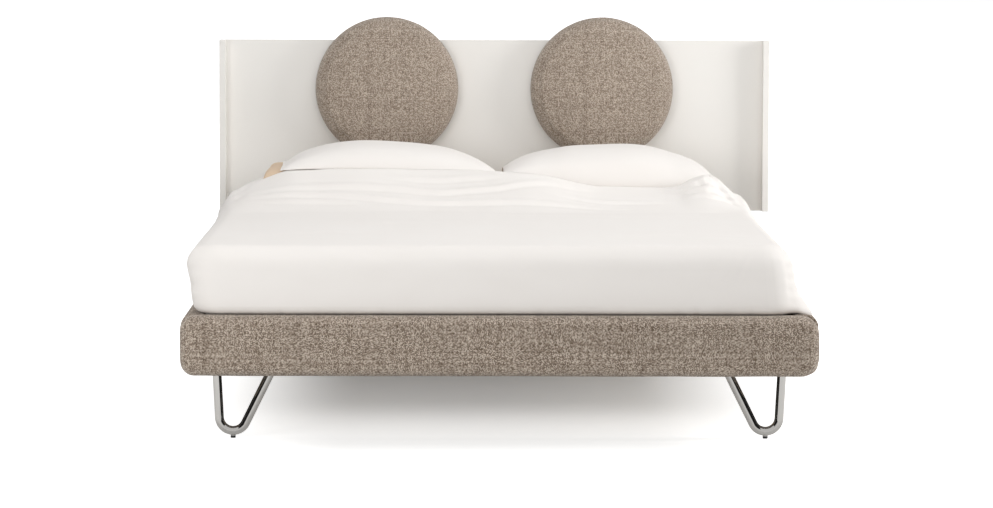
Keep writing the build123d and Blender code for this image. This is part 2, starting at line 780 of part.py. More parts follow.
def coverlet():
    # The cover over the mattress, with its edges tucked down inside the rails.
    outer = mattress_form(coverlet_thickness)
    far = ring_outer_x + overrun
    tuck_z = (mattress_underside - 2 * overrun, rail_top - coverlet_tuck)
    whole_y = (foot_face_y - overrun, head_face_y + overrun)
    outer -= block((-far, far), whole_y, tuck_z)
    outer -= block((-far, far), (mattress_head_y, head_face_y), (0, coverlet_high + overrun))
    cover = outer + coverlet_rise() - mattress_form(soft_clearance)
    for side in sides.values():
        cover -= lower_pillow_space(side)
    return cover


def pillow_form(width, depth, rise, sink):
    # A crowned pillow with its seam on the local XY plane and its four sides drawn in between
    # the corners; with no sink it lies on a flat base.
    half_w = width / 2
    half_d = depth / 2
    reach = half_d + pillow_seam
    sections = []
    for station, crown in zip(pillow_station_shares, pillow_crown_shares):
        top = pillow_seam + (rise - pillow_seam) * crown
        over = ThreePointArc((-reach, 0), (0, top), (reach, 0))
        under = Line((reach, 0), (-reach, 0))
        if sink:
            under = ThreePointArc((reach, 0), (0, -sink * crown), (-reach, 0))
        plane = Plane.YZ.offset(station * (width + 2 * pillow_seam))
        sections.append(plane * make_face(Wire([over, under])))
    body = loft(sections)
    in_w = half_w - pillow_draw
    in_d = half_d - pillow_draw
    corners = [(-half_w, -half_d), (half_w, -half_d), (half_w, half_d), (-half_w, half_d)]
    middles = [(0, -in_d), (in_w, 0), (0, in_d), (-in_w, 0)]
    sides_in = [ThreePointArc(corners[i], middles[i], corners[(i + 1) % 4]) for i in range(4)]
    plan = extrude(make_face(Wire(sides_in)), amount=rise + sink, both=True)
    return body & plan


def upper_pillow(side):
    # A white pillow that lies on the coverlet, pressed flat where it touches it.
    rise, sink = upper_pillow_forms[side]
    form = pillow_form(pillow_width, pillow_depth, rise, sink)
    flat = coverlet_crests[side] + soft_clearance
    seam_z = flat + sink * pillow_flat_share
    x_mid = side * (pillow_width + pillow_gap) / 2
    pillow = Pos(x_mid, pillow_rear_y - pillow_depth / 2, seam_z) * form
    whole_x = (x_mid - pillow_width, x_mid + pillow_width)
    whole_y = (pillow_front_y - overrun, pillow_rear_y + overrun)
    return pillow & block(whole_x, whole_y, (flat, seam_z + rise + overrun))


def lower_pillow(side):
    # A beige pillow under the coverlet, pressed flat on top.
    form = pillow_form(lower_pillow_width, lower_pillow_depth, lower_pillow_crown, 0)
    x_mid = side * (lower_pillow_width + pillow_gap) / 2
    y_mid = pillow_rear_y - lower_pillow_depth / 2
    pillow = Pos(x_mid, y_mid, lower_pillow_base) * form
    whole_x = (x_mid - lower_pillow_width, x_mid + lower_pillow_width)
    whole_y = (y_mid - lower_pillow_depth, y_mid + lower_pillow_depth)
    top = lower_pillow_base + lower_pillow_heights[side]
    return pillow & block(whole_x, whole_y, (lower_pillow_base, top))


def save(name, shape):
    # Writes one node; a list is a group of separate solids.
    solids = [solid for piece in (shape if isinstance(shape, list) else [shape]) for solid in piece.solids()]
    export_step(Compound(solids) if len(solids) > 1 else solids[0], f"parts/{name}.step")


def main():
    # Builds every piece and writes it to its own file.
    os.makedirs("parts", exist_ok=True)
    for name, end in (("foot_rail", -1), ("head_rail", 1)):
        for layer, shape in zip(("board", "foam", "cover"), end_rail(end)):
            save(f"{name}_{layer}", shape)
    for side_name, side in sides.items():
        for layer, shape in zip(("board", "foam", "cover"), side_rail(side)):
            save(f"side_rail_{side_name}_{layer}", shape)
        save(f"side_ledge_{side_name}", side_ledge(side))
        save(f"base_side_tube_{side_name}", base_side_tube(side))
        save(f"headboard_side_board_{side_name}", headboard_side_board(side))
        save(f"headboard_support_{side_name}", headboard_support(side))
        for layer, shape in zip(("board", "foam", "cover"), disc_headrest(side)):
            save(f"headrest_{side_name}_{layer}", shape)
        save(f"headrest_{side_name}_hook", disc_hook(side))
        save(f"headrest_{side_name}_bumper", disc_bumper(side))
        save(f"headrest_{side_name}_screws", disc_screws(side))
        save(f"lower_pillow_{side_name}", lower_pillow(side))
        save(f"upper_pillow_{side_name}", upper_pillow(side))
        for end_name, end in ends.items():
            save(f"corner_bracket_{end_name}_{side_name}", corner_bracket(side, end))
            save(f"leg_{end_name}_{side_name}", leg(side, end))
            save(f"glide_{end_name}_{side_name}", glide(side, end))
    save("frame_bolts", frame_bolts())
    save("base_end_tube_foot", base_end_tube(-1))
    save("base_end_tube_head", base_end_tube(1))
    save("base_centre_tube", base_centre_tube())
    save("slats", [slat(side, y) for y in slat_rows() for side in sides.values()])
    save("slat_holders", slat_holders())
    save("ledge_screws", ledge_screws())
    save("headboard_back_panel", headboard_back_panel())
    save("mattress", mattress_form(0))
    save("coverlet", coverlet())


main()
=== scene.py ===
"""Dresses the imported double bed: padded rails, loop legs, winged headboard, round headrests and bedding.

Every length is in metres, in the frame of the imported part: X across the bed, Y from the foot to the
head, Z up from the floor.
"""

import logging
import math
from collections.abc import Sequence
from dataclasses import dataclass, field
from enum import Enum

import bmesh
import bpy
import numpy as np
from mathutils import Euler, Matrix, Vector, noise


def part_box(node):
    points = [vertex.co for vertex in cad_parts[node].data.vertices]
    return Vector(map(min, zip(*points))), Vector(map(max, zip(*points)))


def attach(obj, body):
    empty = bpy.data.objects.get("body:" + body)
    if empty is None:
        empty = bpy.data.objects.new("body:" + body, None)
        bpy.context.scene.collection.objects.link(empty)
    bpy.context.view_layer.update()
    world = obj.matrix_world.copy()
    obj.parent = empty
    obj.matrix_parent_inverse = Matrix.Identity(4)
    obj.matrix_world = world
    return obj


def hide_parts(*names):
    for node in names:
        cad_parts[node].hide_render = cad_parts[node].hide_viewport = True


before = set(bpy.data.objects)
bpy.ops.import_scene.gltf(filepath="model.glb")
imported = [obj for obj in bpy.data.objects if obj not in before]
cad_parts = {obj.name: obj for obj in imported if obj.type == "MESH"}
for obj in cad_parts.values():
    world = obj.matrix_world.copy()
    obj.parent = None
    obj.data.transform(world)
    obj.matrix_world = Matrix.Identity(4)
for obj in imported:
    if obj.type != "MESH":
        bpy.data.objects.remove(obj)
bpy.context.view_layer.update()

WEAVE_MAP = "weave"
log = logging.getLogger("bed")


class Side(Enum):
    """A side of the bed, as the sign of its X."""

    LEFT = -1
    RIGHT = 1

    @property
    def word(self) -> str:
        """The side's name in node names."""
        return self.name.lower()


class End(Enum):
    """An end of the bed, as the sign of its Y from the ring's middle."""

    FRONT = -1
    REAR = 1

    @property
    def word(self) -> str:
        """The end's name in node names."""
        return self.name.lower()


class Slot(Enum):
    """The record's material slots, which the pillows carry as labels; their finishes come from Finishes."""

    TWEED = "tweed"
    BEDDING = "bedding"
    BEIGE = "beige_linen"
    CHROME = "chrome"


def srgb(red: float, green: float, blue: float) -> tuple[float, float, float, float]:
    """A screen colour from 0 to 255 as the linear colour that shaders use.

    Args:
        red: Its red, from 0 to 255.
        green: Its green.
        blue: Its blue.

    Returns:
        The linear colour with full alpha.
    """
    shares = (c / 255 for c in (red, green, blue))
    linear = [c / 12.92 if c <= 0.04045 else ((c + 0.055) / 1.055) ** 2.4 for c in shares]
    return (*linear, 1.0)


def ease(value: np.ndarray | float, low: float, high: float) -> np.ndarray | float:
    """A smooth step from 0 at low to 1 at high; low may be above high."""
    share = np.clip((value - low) / (high - low), 0.0, 1.0)
    return share * share * (3 - 2 * share)


def bump(value: np.ndarray, centre: float, width: float) -> np.ndarray:
    """A bell of height 1 about centre."""
    return np.exp(-(((value - centre) / width) ** 2))


def drift(points: np.ndarray, size: float, seed: int) -> np.ndarray:
    """Gentle noise from -1 to 1.

    Args:
        points: The places, one row each.
        size: The length of one swell.
        seed: Which field of noise.

    Returns:
        One value for each point.
    """
    offset = Vector((17.3 * seed, -9.1 * seed, 5.7 * seed))
    return np.array([noise.noise(Vector(p) / size + offset) for p in points])


def grid_faces(rows: int, columns: int, round_columns: bool = False) -> list[tuple[int, int, int, int]]:
    """Quads over a grid of points that is stored row by row.

    Args:
        rows: How many rows of points.
        columns: How many points in a row.
        round_columns: Whether each row closes on itself.

    Returns:
        The quads as indices.
    """
    faces = []
    last = columns if round_columns else columns - 1
    for i in range(rows - 1):
        for j in range(last):
            k = (j + 1) % columns
            faces.append((i * columns + j, i * columns + k, (i + 1) * columns + k, (i + 1) * columns + j))
    return faces


def add_object(name: str, data: bpy.types.ID) -> bpy.types.Object:
    """A new object in the scene that shows a mesh, a lamp or a camera.

    Args:
        name: Its name.
        data: The mesh, lamp or camera.

    Returns:
        The object.
    """
    thing = bpy.data.objects.new(name, data)
    bpy.context.scene.collection.objects.link(thing)
    return thing


def read_points(piece: bpy.types.Object, what: str = "co") -> np.ndarray:
    """The piece's points, one row each, or what else each of them has."""
    return np.array([getattr(point, what) for point in piece.data.vertices], float)


def write_points(piece: bpy.types.Object, points: np.ndarray) -> None:
    """Moves the piece's points to those places."""
    piece.data.vertices.foreach_set("co", points.ravel())
    piece.data.update()


def shade_smooth(piece: bpy.types.Object) -> None:
    """Shades every face of the piece smoothly."""
    piece.data.polygons.foreach_set("use_smooth", [True] * len(piece.data.polygons))


def coat(piece: bpy.types.Object, finish: bpy.types.Material) -> None:
    """Gives the whole piece one finish."""
    piece.data.materials.clear()
    piece.data.materials.append(finish)


def make_piece(name: str, points: Sequence[Sequence[float]],
               faces: Sequence[Sequence[int]]) -> bpy.types.Object:
    """Makes a smooth mesh object whose place is in its mesh and whose faces point outwards.

    Args:
        name: The piece's name.
        points: Its points, one row each.
        faces: Its faces as indices.

    Returns:
        The new object, linked to the scene.
    """
    mesh = bpy.data.meshes.new(name)
    mesh.from_pydata(np.asarray(points, float).tolist(), [], [list(f) for f in faces])
    shell = bmesh.new()
    shell.from_mesh(mesh)
    bmesh.ops.remove_doubles(shell, verts=shell.verts, dist=1e-6)
    bmesh.ops.recalc_face_normals(shell, faces=shell.faces)
    shell.to_mesh(mesh)
    shell.free()
    piece = add_object(name, mesh)
    shade_smooth(piece)
    return piece


def lay_weave(piece: bpy.types.Object, places: np.ndarray) -> None:
    """Gives a piece the map its cloth is woven along.

    Args:
        piece: The piece.
        places: Where each corner of its faces lies on the cloth, in metres.
    """
    weave = piece.data.uv_layers.new(name=WEAVE_MAP)
    weave.data.foreach_set("uv", np.asarray(places, np.float32).ravel())


def crease_by_angle(piece: bpy.types.Object, degrees: float) -> None:
    """Keeps edges sharp where faces meet at more than that angle."""
    piece.data.set_sharp_from_angle(angle=math.radians(degrees))


def bake_modifiers(piece: bpy.types.Object) -> None:
    """Turns the piece's modifiers into its mesh and removes them.

    Args:
        piece: The piece.
    """
    bpy.context.view_layer.update()
    evaluated = piece.evaluated_get(bpy.context.evaluated_depsgraph_get())
    mesh = bpy.data.meshes.new_from_object(evaluated)
    piece.modifiers.clear()
    piece.data = mesh


def join_pieces(name: str, pieces: Sequence[bpy.types.Object]) -> bpy.types.Object:
    """Joins several objects into one.

    Args:
        name: The name of the joined piece.
        pieces: The objects, which are used up.

    Returns:
        The joined object.
    """
    shell = bmesh.new()
    for piece in pieces:
        shell.from_mesh(piece.data)
    mesh = bpy.data.meshes.new(name)
    shell.to_mesh(mesh)
    shell.free()
    for piece in pieces:
        bpy.data.objects.remove(piece)
    return add_object(name, mesh)


def lathe(name: str, profile: Sequence[tuple[float, float]], segments: int) -> bpy.types.Object:
    """Turns a profile about the local Z axis.

    Args:
        name: The piece's name.
        profile: Points as radius and height; the ends may lie on the axis.
        segments: How many steps round.

    Returns:
        The turned object.
    """
    angles = np.linspace(0, 2 * np.pi, segments, endpoint=False)
    rows = [np.column_stack((radius * np.cos(angles), radius * np.sin(angles), np.full(segments, height)))
            for radius, height in profile]
    return make_piece(name, np.vstack(rows), grid_faces(len(profile), segments, round_columns=True))


def arc(centre: tuple[float, float], radius: float, start: float, stop: float,
        steps: int) -> list[tuple[float, float]]:
    """Points of an arc, with its angles in degrees."""
    angles = np.radians(np.linspace(start, stop, steps))
    return [(centre[0] + radius * math.cos(a), centre[1] + radius * math.sin(a)) for a in angles]


def evenly(points: Sequence[tuple[float, float]], step: float) -> list[tuple[float, float]]:
    """The same line with more points, none further apart than step.

    Args:
        points: The line's points.
        step: The longest gap left.

    Returns:
        The denser line.
    """
    dense = [points[0]]
    for (x, y), (far_x, far_y) in zip(points, points[1:]):
        count = max(1, math.ceil(math.dist((x, y), (far_x, far_y)) / step))
        dense += [(x + (far_x - x) * k / count, y + (far_y - y) * k / count) for k in range(1, count + 1)]
    return dense


class Shader:
    """A material's node tree, with short calls that add a node and join its sockets."""

    def __init__(self, name: str) -> None:
        """Starts a material with a plain Principled shader.

        Args:
            name: The material's name.
        """
        self.material = bpy.data.materials.new(name)
        self.material.use_nodes = True
        self.tree = self.material.node_tree
        self.surface = self.tree.nodes["Principled BSDF"]

    def add(self, kind: str, inputs: dict | None = None, **settings: object) -> bpy.types.Node:
        """Adds a node.

        Args:
            kind: The node's type name.
            inputs: Values or sockets for its inputs, by name or index.
            **settings: Its properties.

        Returns:
            The new node.
        """
        node = self.tree.nodes.new(kind)
        for key, value in settings.items():
            setattr(node, key, value)
        for key, value in (inputs or {}).items():
            self.put(node.inputs[key], value)
        return node

    def put(self, socket: bpy.types.NodeSocket, value: object) -> None:
        """Sets a socket to a value, or joins another node's socket to it.

        Args:
            socket: The input.
            value: A value or another node's socket.
        """
        if isinstance(value, bpy.types.NodeSocket):
            self.tree.links.new(value, socket)
        else:
            socket.default_value = value

    def place(self) -> bpy.types.NodeSocket:
        """The piece's own coordinates, in metres."""
        return self.add("ShaderNodeTexCoord").outputs["Object"]

    def grain(self, place: bpy.types.NodeSocket, size: float, detail: float = 2.0) -> bpy.types.NodeSocket:
        """Noise whose swells are about size across."""
        noise_inputs = {"Vector": place, "Scale": 1 / size, "Detail": detail}
        return self.add("ShaderNodeTexNoise", noise_inputs).outputs["Fac"]

    def stretch(self, place: bpy.types.NodeSocket, scale: tuple[float, float, float]) -> bpy.types.NodeSocket:
        """The coordinates stretched along their axes."""
        return self.add("ShaderNodeMapping", {"Vector": place, "Scale": scale}).outputs["Vector"]

    def ramp(self, factor: bpy.types.NodeSocket,
             stops: Sequence[tuple[float, tuple]]) -> bpy.types.NodeSocket:
        """Colours along a factor.

        Args:
            factor: What chooses the colour.
            stops: Positions with their colours, in order.

        Returns:
            The colour socket.
        """
        node = self.add("ShaderNodeValToRGB", {"Fac": factor})
        elements = node.color_ramp.elements
        elements[0].position, elements[0].color = stops[0]
        elements[1].position, elements[1].color = stops[-1]
        for position, colour in stops[1:-1]:
            elements.new(position).color = colour
        return node.outputs["Color"]

    def mix(self, factor: object, first: object, second: object, blend: str = "MIX") -> bpy.types.NodeSocket:
        """A mix of two colours.

        Args:
            factor: How much of the second colour.
            first: A colour or a socket.
            second: A colour or a socket.
            blend: How the second goes onto the first.

        Returns:
            The mixed colour.
        """
        # This node's colour inputs stand at 6 and 7 and its colour output at 2, under names it uses twice.
        node = self.add("ShaderNodeMix", data_type="RGBA", blend_type=blend)
        self.put(node.inputs[0], factor)
        self.put(node.inputs[6], first)
        self.put(node.inputs[7], second)
        return node.outputs[2]

    def finish(self, values: dict[str, object]) -> bpy.types.Material:
        """Sets or joins the surface's own sockets.

        Args:
            values: A value or another node's socket for each, by the socket's name.

        Returns:
            The material.
        """
        for name, value in values.items():
            self.put(self.surface.inputs[name], value)
        return self.material

    def maths(self, first: object, second: object, operation: str = "ADD") -> bpy.types.NodeSocket:
        """The sum of two values, or another operation on them."""
        return self.add("ShaderNodeMath", {0: first, 1: second}, operation=operation).outputs[0]

    def span(self, value: bpy.types.NodeSocket, low: float, high: float) -> bpy.types.NodeSocket:
        """A 0 to 1 value stretched to run from low to high."""
        return self.add("ShaderNodeMapRange", {"Value": value, "To Min": low, "To Max": high}).outputs[0]

    def relief(self, height: bpy.types.NodeSocket, depth: float,
               strength: float = 1.0) -> bpy.types.NodeSocket:
        """A bump of that depth in metres."""
        bump_inputs = {"Height": height, "Distance": depth, "Strength": strength}
        return self.add("ShaderNodeBump", bump_inputs).outputs["Normal"]


@dataclass(frozen=True)
class TweedFinish:
    """Thick plain-woven cloth of mixed yarns in greige, laid along the piece's own weave map.

    Attributes:
        yarn: The width of a yarn.
        wobble: How far the yarns wander.
        streak: How much of a yarn's shade runs its whole length.
        depth: How far the yarns stand out.
    """

    name: str
    dark: tuple
    middle: tuple
    light: tuple
    yarn: float = 0.0027
    wobble: float = 0.0011
    streak: float = 0.24
    depth: float = 0.0008

    def build(self) -> bpy.types.Material:
        """Makes the material.

        Returns:
            The material.
        """
        shader = Shader(self.name)
        cloth = shader.add("ShaderNodeUVMap", uv_map=WEAVE_MAP).outputs["UV"]
        bend = shader.add("ShaderNodeTexNoise", {"Vector": cloth, "Scale": 1 / (3 * self.yarn)})
        bent = shader.mix(self.wobble, cloth, bend.outputs["Color"], "LINEAR_LIGHT")
        counted = shader.stretch(bent, (1 / self.yarn, 1 / self.yarn, 1.0))
        crossing = shader.add("ShaderNodeVectorMath", {0: counted}, operation="FLOOR").outputs["Vector"]
        number = shader.add("ShaderNodeSeparateXYZ", {0: crossing}).outputs
        chances = (("Vector", crossing, "2D"), ("W", number["X"], "1D"), ("W", number["Y"], "1D"))
        speck, warp, weft = (
            shader.add("ShaderNodeTexWhiteNoise", {socket: value}, noise_dimensions=kind).outputs["Value"]
            for socket, value, kind in chances)
        lines = shader.maths(shader.maths(warp, weft), self.streak / 2, "MULTIPLY")
        pick = shader.maths(shader.maths(speck, 1 - self.streak, "MULTIPLY"), lines)
        colour = shader.ramp(pick, [(0.08, self.dark), (0.5, self.middle), (0.92, self.light)])
        tone = shader.span(shader.grain(shader.place(), 0.18), 0.93, 1.07)
        knots = shader.maths(self.swell(shader, counted), shader.maths(speck, 0.6, "MULTIPLY"))
        return shader.finish({
            "Base Color": shader.mix(1.0, colour, tone, "MULTIPLY"),
            "Normal": shader.relief(knots, self.depth, 0.9),
            "Roughness": shader.span(speck, 0.86, 0.98), "Sheen Weight": 0.25, "Specular IOR Level": 0.25})

    @staticmethod
    def swell(shader: Shader, counted: bpy.types.NodeSocket) -> bpy.types.NodeSocket:
        """The swell of the yarn at each crossing: 1 in its middle and 0 in the gaps round it.

        Args:
            shader: The cloth's shader.
            counted: The place on the cloth, in yarns.

        Returns:
            The swell.
        """
        inside = shader.add("ShaderNodeVectorMath", {0: counted}, operation="FRACTION").outputs["Vector"]
        share = shader.add("ShaderNodeSeparateXYZ", {0: inside}).outputs
        across, along = (shader.maths(shader.maths(share[axis], math.pi, "MULTIPLY"), 0.0, "SINE")
                         for axis in "XY")
        return shader.maths(across, along, "MULTIPLY")


@dataclass(frozen=True)
class CottonFinish:
    """Fine plain cotton with a barely seen weave."""

    name: str
    colour: tuple
    shadow: tuple
    thread: float = 0.0011
    depth: float = 0.00012

    def build(self) -> bpy.types.Material:
        """Makes the material.

        Returns:
            The material.
        """
        shader = Shader(self.name)
        place = shader.place()
        warp = shader.grain(shader.stretch(place, (1.0, 0.14, 1.0)), self.thread, 1.0)
        weft = shader.grain(shader.stretch(place, (0.14, 1.0, 1.0)), self.thread, 1.0)
        weave = shader.maths(warp, weft)
        cloud = shader.span(shader.grain(place, 0.22), 0.0, 0.55)
        return shader.finish({
            "Base Color": shader.mix(cloud, self.colour, self.shadow),
            "Normal": shader.relief(weave, self.depth, 0.6),
            "Roughness": shader.span(weave, 0.72, 0.9), "Sheen Weight": 0.08, "Specular IOR Level": 0.2})


@dataclass(frozen=True)
class LacquerFinish:
    """White satin lacquer on board, with the faint swell of a sprayed coat."""

    name: str = "white lacquer"
    colour: tuple = srgb(243, 241, 237)
    second: tuple = srgb(240, 237, 232)
    roughness: float = 0.34
    spread: float = 0.05

    def build(self) -> bpy.types.Material:
        """Makes the material.

        Returns:
            The material.
        """
        shader = Shader(self.name)
        place = shader.place()
        cloud, sprayed, swirl = (shader.grain(place, 0.35), shader.grain(place, 0.004, 3.0),
                                 shader.grain(place, 0.05))
        return shader.finish({
            "Base Color": shader.mix(cloud, self.colour, self.second),
            "Normal": shader.relief(sprayed, 0.00001, 0.15),
            "Roughness": shader.span(swirl, self.roughness - self.spread, self.roughness + self.spread),
            "Coat Weight": 0.15, "Coat Roughness": 0.2})


@dataclass(frozen=True)
class MetalFinish:
    """Plated or painted metal: chrome, zinc or powder coat.

    Attributes:
        spread: How far the roughness varies.
        grit: The size of its finest marks.
        depth: How far they stand out.
    """

    name: str
    colour: tuple
    second: tuple
    metallic: float
    roughness: float
    spread: float
    grit: float
    depth: float

    def build(self) -> bpy.types.Material:
        """Makes the material.

        Returns:
            The material.
        """
        shader = Shader(self.name)
        place = shader.place()
        patches, fine = shader.grain(place, self.grit * 8), shader.grain(place, self.grit, 3.0)
        return shader.finish({
            "Base Color": shader.mix(patches, self.colour, self.second), "Metallic": self.metallic,
            "Roughness": shader.span(fine, self.roughness - self.spread, self.roughness + self.spread),
            "Normal": shader.relief(fine, self.depth, 0.4)})


@dataclass(frozen=True)
class WoodFinish:
    """Wood with its grain along one axis."""

    name: str
    colour: tuple
    second: tuple
    along: tuple[float, float, float]
    roughness: float = 0.45

    def build(self) -> bpy.types.Material:
        """Makes the material.

        Returns:
            The material.
        """
        shader = Shader(self.name)
        place = shader.stretch(shader.place(), self.along)
        streaks = shader.grain(place, 0.009, 5.0)
        bands = shader.grain(place, 0.045, 3.0)
        mixed = shader.maths(shader.maths(streaks, 0.6, "MULTIPLY"), shader.maths(bands, 0.5, "MULTIPLY"))
        return shader.finish({
            "Base Color": shader.ramp(mixed, [(0.32, self.second), (0.62, self.colour)]),
            "Roughness": shader.span(streaks, self.roughness, self.roughness + 0.2),
            "Normal": shader.relief(streaks, 0.0001, 0.5)})


@dataclass(frozen=True)
class PlasticFinish:
    """Moulded plastic with a fine spark-eroded grain."""

    name: str
    colour: tuple
    second: tuple
    grit: float = 0.0009
    roughness: float = 0.5

    def build(self) -> bpy.types.Material:
        """Makes the material.

        Returns:
            The material.
        """
        shader = Shader(self.name)
        place = shader.place()
        fine = shader.grain(place, self.grit, 3.0)
        return shader.finish({
            "Base Color": shader.mix(shader.grain(place, 0.03), self.colour, self.second),
            "Normal": shader.relief(fine, 0.00005, 0.5),
            "Roughness": shader.span(fine, self.roughness - 0.08, self.roughness + 0.12)})


class Finishes:
    """All the finishes of the bed, each made once."""

    def __init__(self) -> None:
        """Builds every material."""
        self.tweed = TweedFinish("tweed on the rails", srgb(101, 85, 71), srgb(160, 144, 129),
                                 srgb(219, 206, 191)).build()
        # The headrests' tweed is the rails' tweed painted lighter and flatter, standing in for the stronger
        # light on the headrests.
        self.lit_tweed = TweedFinish("tweed on the headrests", srgb(124, 108, 94), srgb(170, 154, 139),
                                      srgb(215, 202, 187)).build()
        self.cotton = CottonFinish("white cotton", srgb(244, 240, 236), srgb(240, 235, 230)).build()
        self.ticking = CottonFinish("mattress ticking", srgb(236, 232, 224), srgb(226, 220, 210),
                                    thread=0.002, depth=0.0003).build()
        self.beige = CottonFinish("beige cotton", srgb(224, 200, 174), srgb(214, 188, 160)).build()
        self.lacquer = LacquerFinish().build()
        self.chrome = MetalFinish("chrome", srgb(180, 178, 175), srgb(172, 170, 167), metallic=1.0,
                                  roughness=0.05, spread=0.015, grit=0.004, depth=2e-6).build()
        self.steel = MetalFinish("powder-coated steel", srgb(146, 146, 148), srgb(138, 138, 141),
                                 metallic=0.0, roughness=0.5, spread=0.08, grit=0.0012, depth=6e-5).build()
        self.zinc = MetalFinish("zinc plate", srgb(198, 199, 196), srgb(176, 178, 178), metallic=1.0,
                                roughness=0.34, spread=0.1, grit=0.002, depth=2e-5).build()
        across, along = (0.08, 1.0, 1.0), (1.0, 0.08, 1.0)
        plywood = (srgb(214, 184, 142), srgb(190, 156, 112))
        self.slat_wood = WoodFinish("beech slats", srgb(226, 200, 160), srgb(202, 170, 126), across).build()
        self.timber_across = WoodFinish("plywood across", *plywood, across, roughness=0.6).build()
        self.timber_along = WoodFinish("plywood along", *plywood, along, roughness=0.6).build()
        self.black = PlasticFinish("black nylon", srgb(38, 38, 40), srgb(30, 30, 32)).build()

    def for_node(self, node: str) -> bpy.types.Material:
        """The finish of a CAD node that stays.

        Args:
            node: The node's name.

        Returns:
            Its material.
        """
        rules: list[tuple[tuple[str, ...], bpy.types.Material]] = [
            (("slats",), self.slat_wood),
            (("slat_holders", "glide", "bumper"), self.black),
            (("frame_bolts", "screws"), self.zinc),
            (("side_rail",), self.timber_along),
            (("rail", "headrest_left_board", "headrest_right_board"), self.timber_across),
            (("headboard_support", "bracket", "base_", "ledge", "hook"), self.steel),
            (("headboard",), self.lacquer),
        ]
        for words, finish in rules:
            if any(word in node for word in words):
                return finish
        return self.steel


class TubeAlongPath:
    """A Geometry Nodes tree that bends a round tube along a chain of edges."""

    INPUTS = (("Tube radius", "NodeSocketFloat"), ("Bend radius", "NodeSocketFloat"),
              ("Bend steps", "NodeSocketInt"), ("Round steps", "NodeSocketInt"),
              ("Finish", "NodeSocketMaterial"))

    def __init__(self) -> None:
        """Builds the tree."""
        self.tree = bpy.data.node_groups.new("tube along path", "GeometryNodeTree")
        self.sockets: dict[str, str] = {}
        face = self.tree.interface
        face.new_socket("Geometry", in_out="INPUT", socket_type="NodeSocketGeometry")
        for name, kind in self.INPUTS:
            self.sockets[name] = face.new_socket(name, in_out="INPUT", socket_type=kind).identifier
        face.new_socket("Geometry", in_out="OUTPUT", socket_type="NodeSocketGeometry")
        nodes, links = self.tree.nodes, self.tree.links
        given = nodes.new("NodeGroupInput")
        line = nodes.new("GeometryNodeMeshToCurve")
        corner = nodes.new("GeometryNodeFilletCurve")
        corner.mode = "POLY"
        ring = nodes.new("GeometryNodeCurvePrimitiveCircle")
        sweep = nodes.new("GeometryNodeCurveToMesh")
        sweep.inputs["Fill Caps"].default_value = True
        smooth = nodes.new("GeometryNodeSetShadeSmooth")
        real = nodes.new("GeometryNodeRealizeInstances")
        dress = nodes.new("GeometryNodeSetMaterial")
        result = nodes.new("NodeGroupOutput")
        for source, target in (
                (given.outputs["Geometry"], line.inputs[0]), (line.outputs[0], corner.inputs["Curve"]),
                (given.outputs["Bend radius"], corner.inputs["Radius"]),
                (given.outputs["Bend steps"], corner.inputs["Count"]),
                (given.outputs["Round steps"], ring.inputs["Resolution"]),
                (given.outputs["Tube radius"], ring.inputs["Radius"]),
                (corner.outputs[0], sweep.inputs["Curve"]), (ring.outputs[0], sweep.inputs["Profile Curve"]),
                (sweep.outputs[0], smooth.inputs["Geometry"]), (smooth.outputs[0], real.inputs["Geometry"]),
                (real.outputs[0], dress.inputs["Geometry"]),
                (given.outputs["Finish"], dress.inputs["Material"]),
                (dress.outputs[0], result.inputs["Geometry"])):
            links.new(source, target)

    def bend(self, name: str, path: Sequence[tuple[float, float, float]],
             values: dict[str, object]) -> bpy.types.Object:
        """Makes one tube.

        Args:
            name: The piece's name.
            path: The corners of its centreline.
            values: The tree's inputs by name.

        Returns:
            The tube as a plain mesh.
        """
        mesh = bpy.data.meshes.new(name)
        mesh.from_pydata([tuple(p) for p in path], [(i, i + 1) for i in range(len(path) - 1)], [])
        piece = add_object(name, mesh)
        modifier = piece.modifiers.new("tube", "NODES")
        modifier.node_group = self.tree
        for key, value in values.items():
            modifier[self.sockets[key]] = value
        bake_modifiers(piece)
        return piece


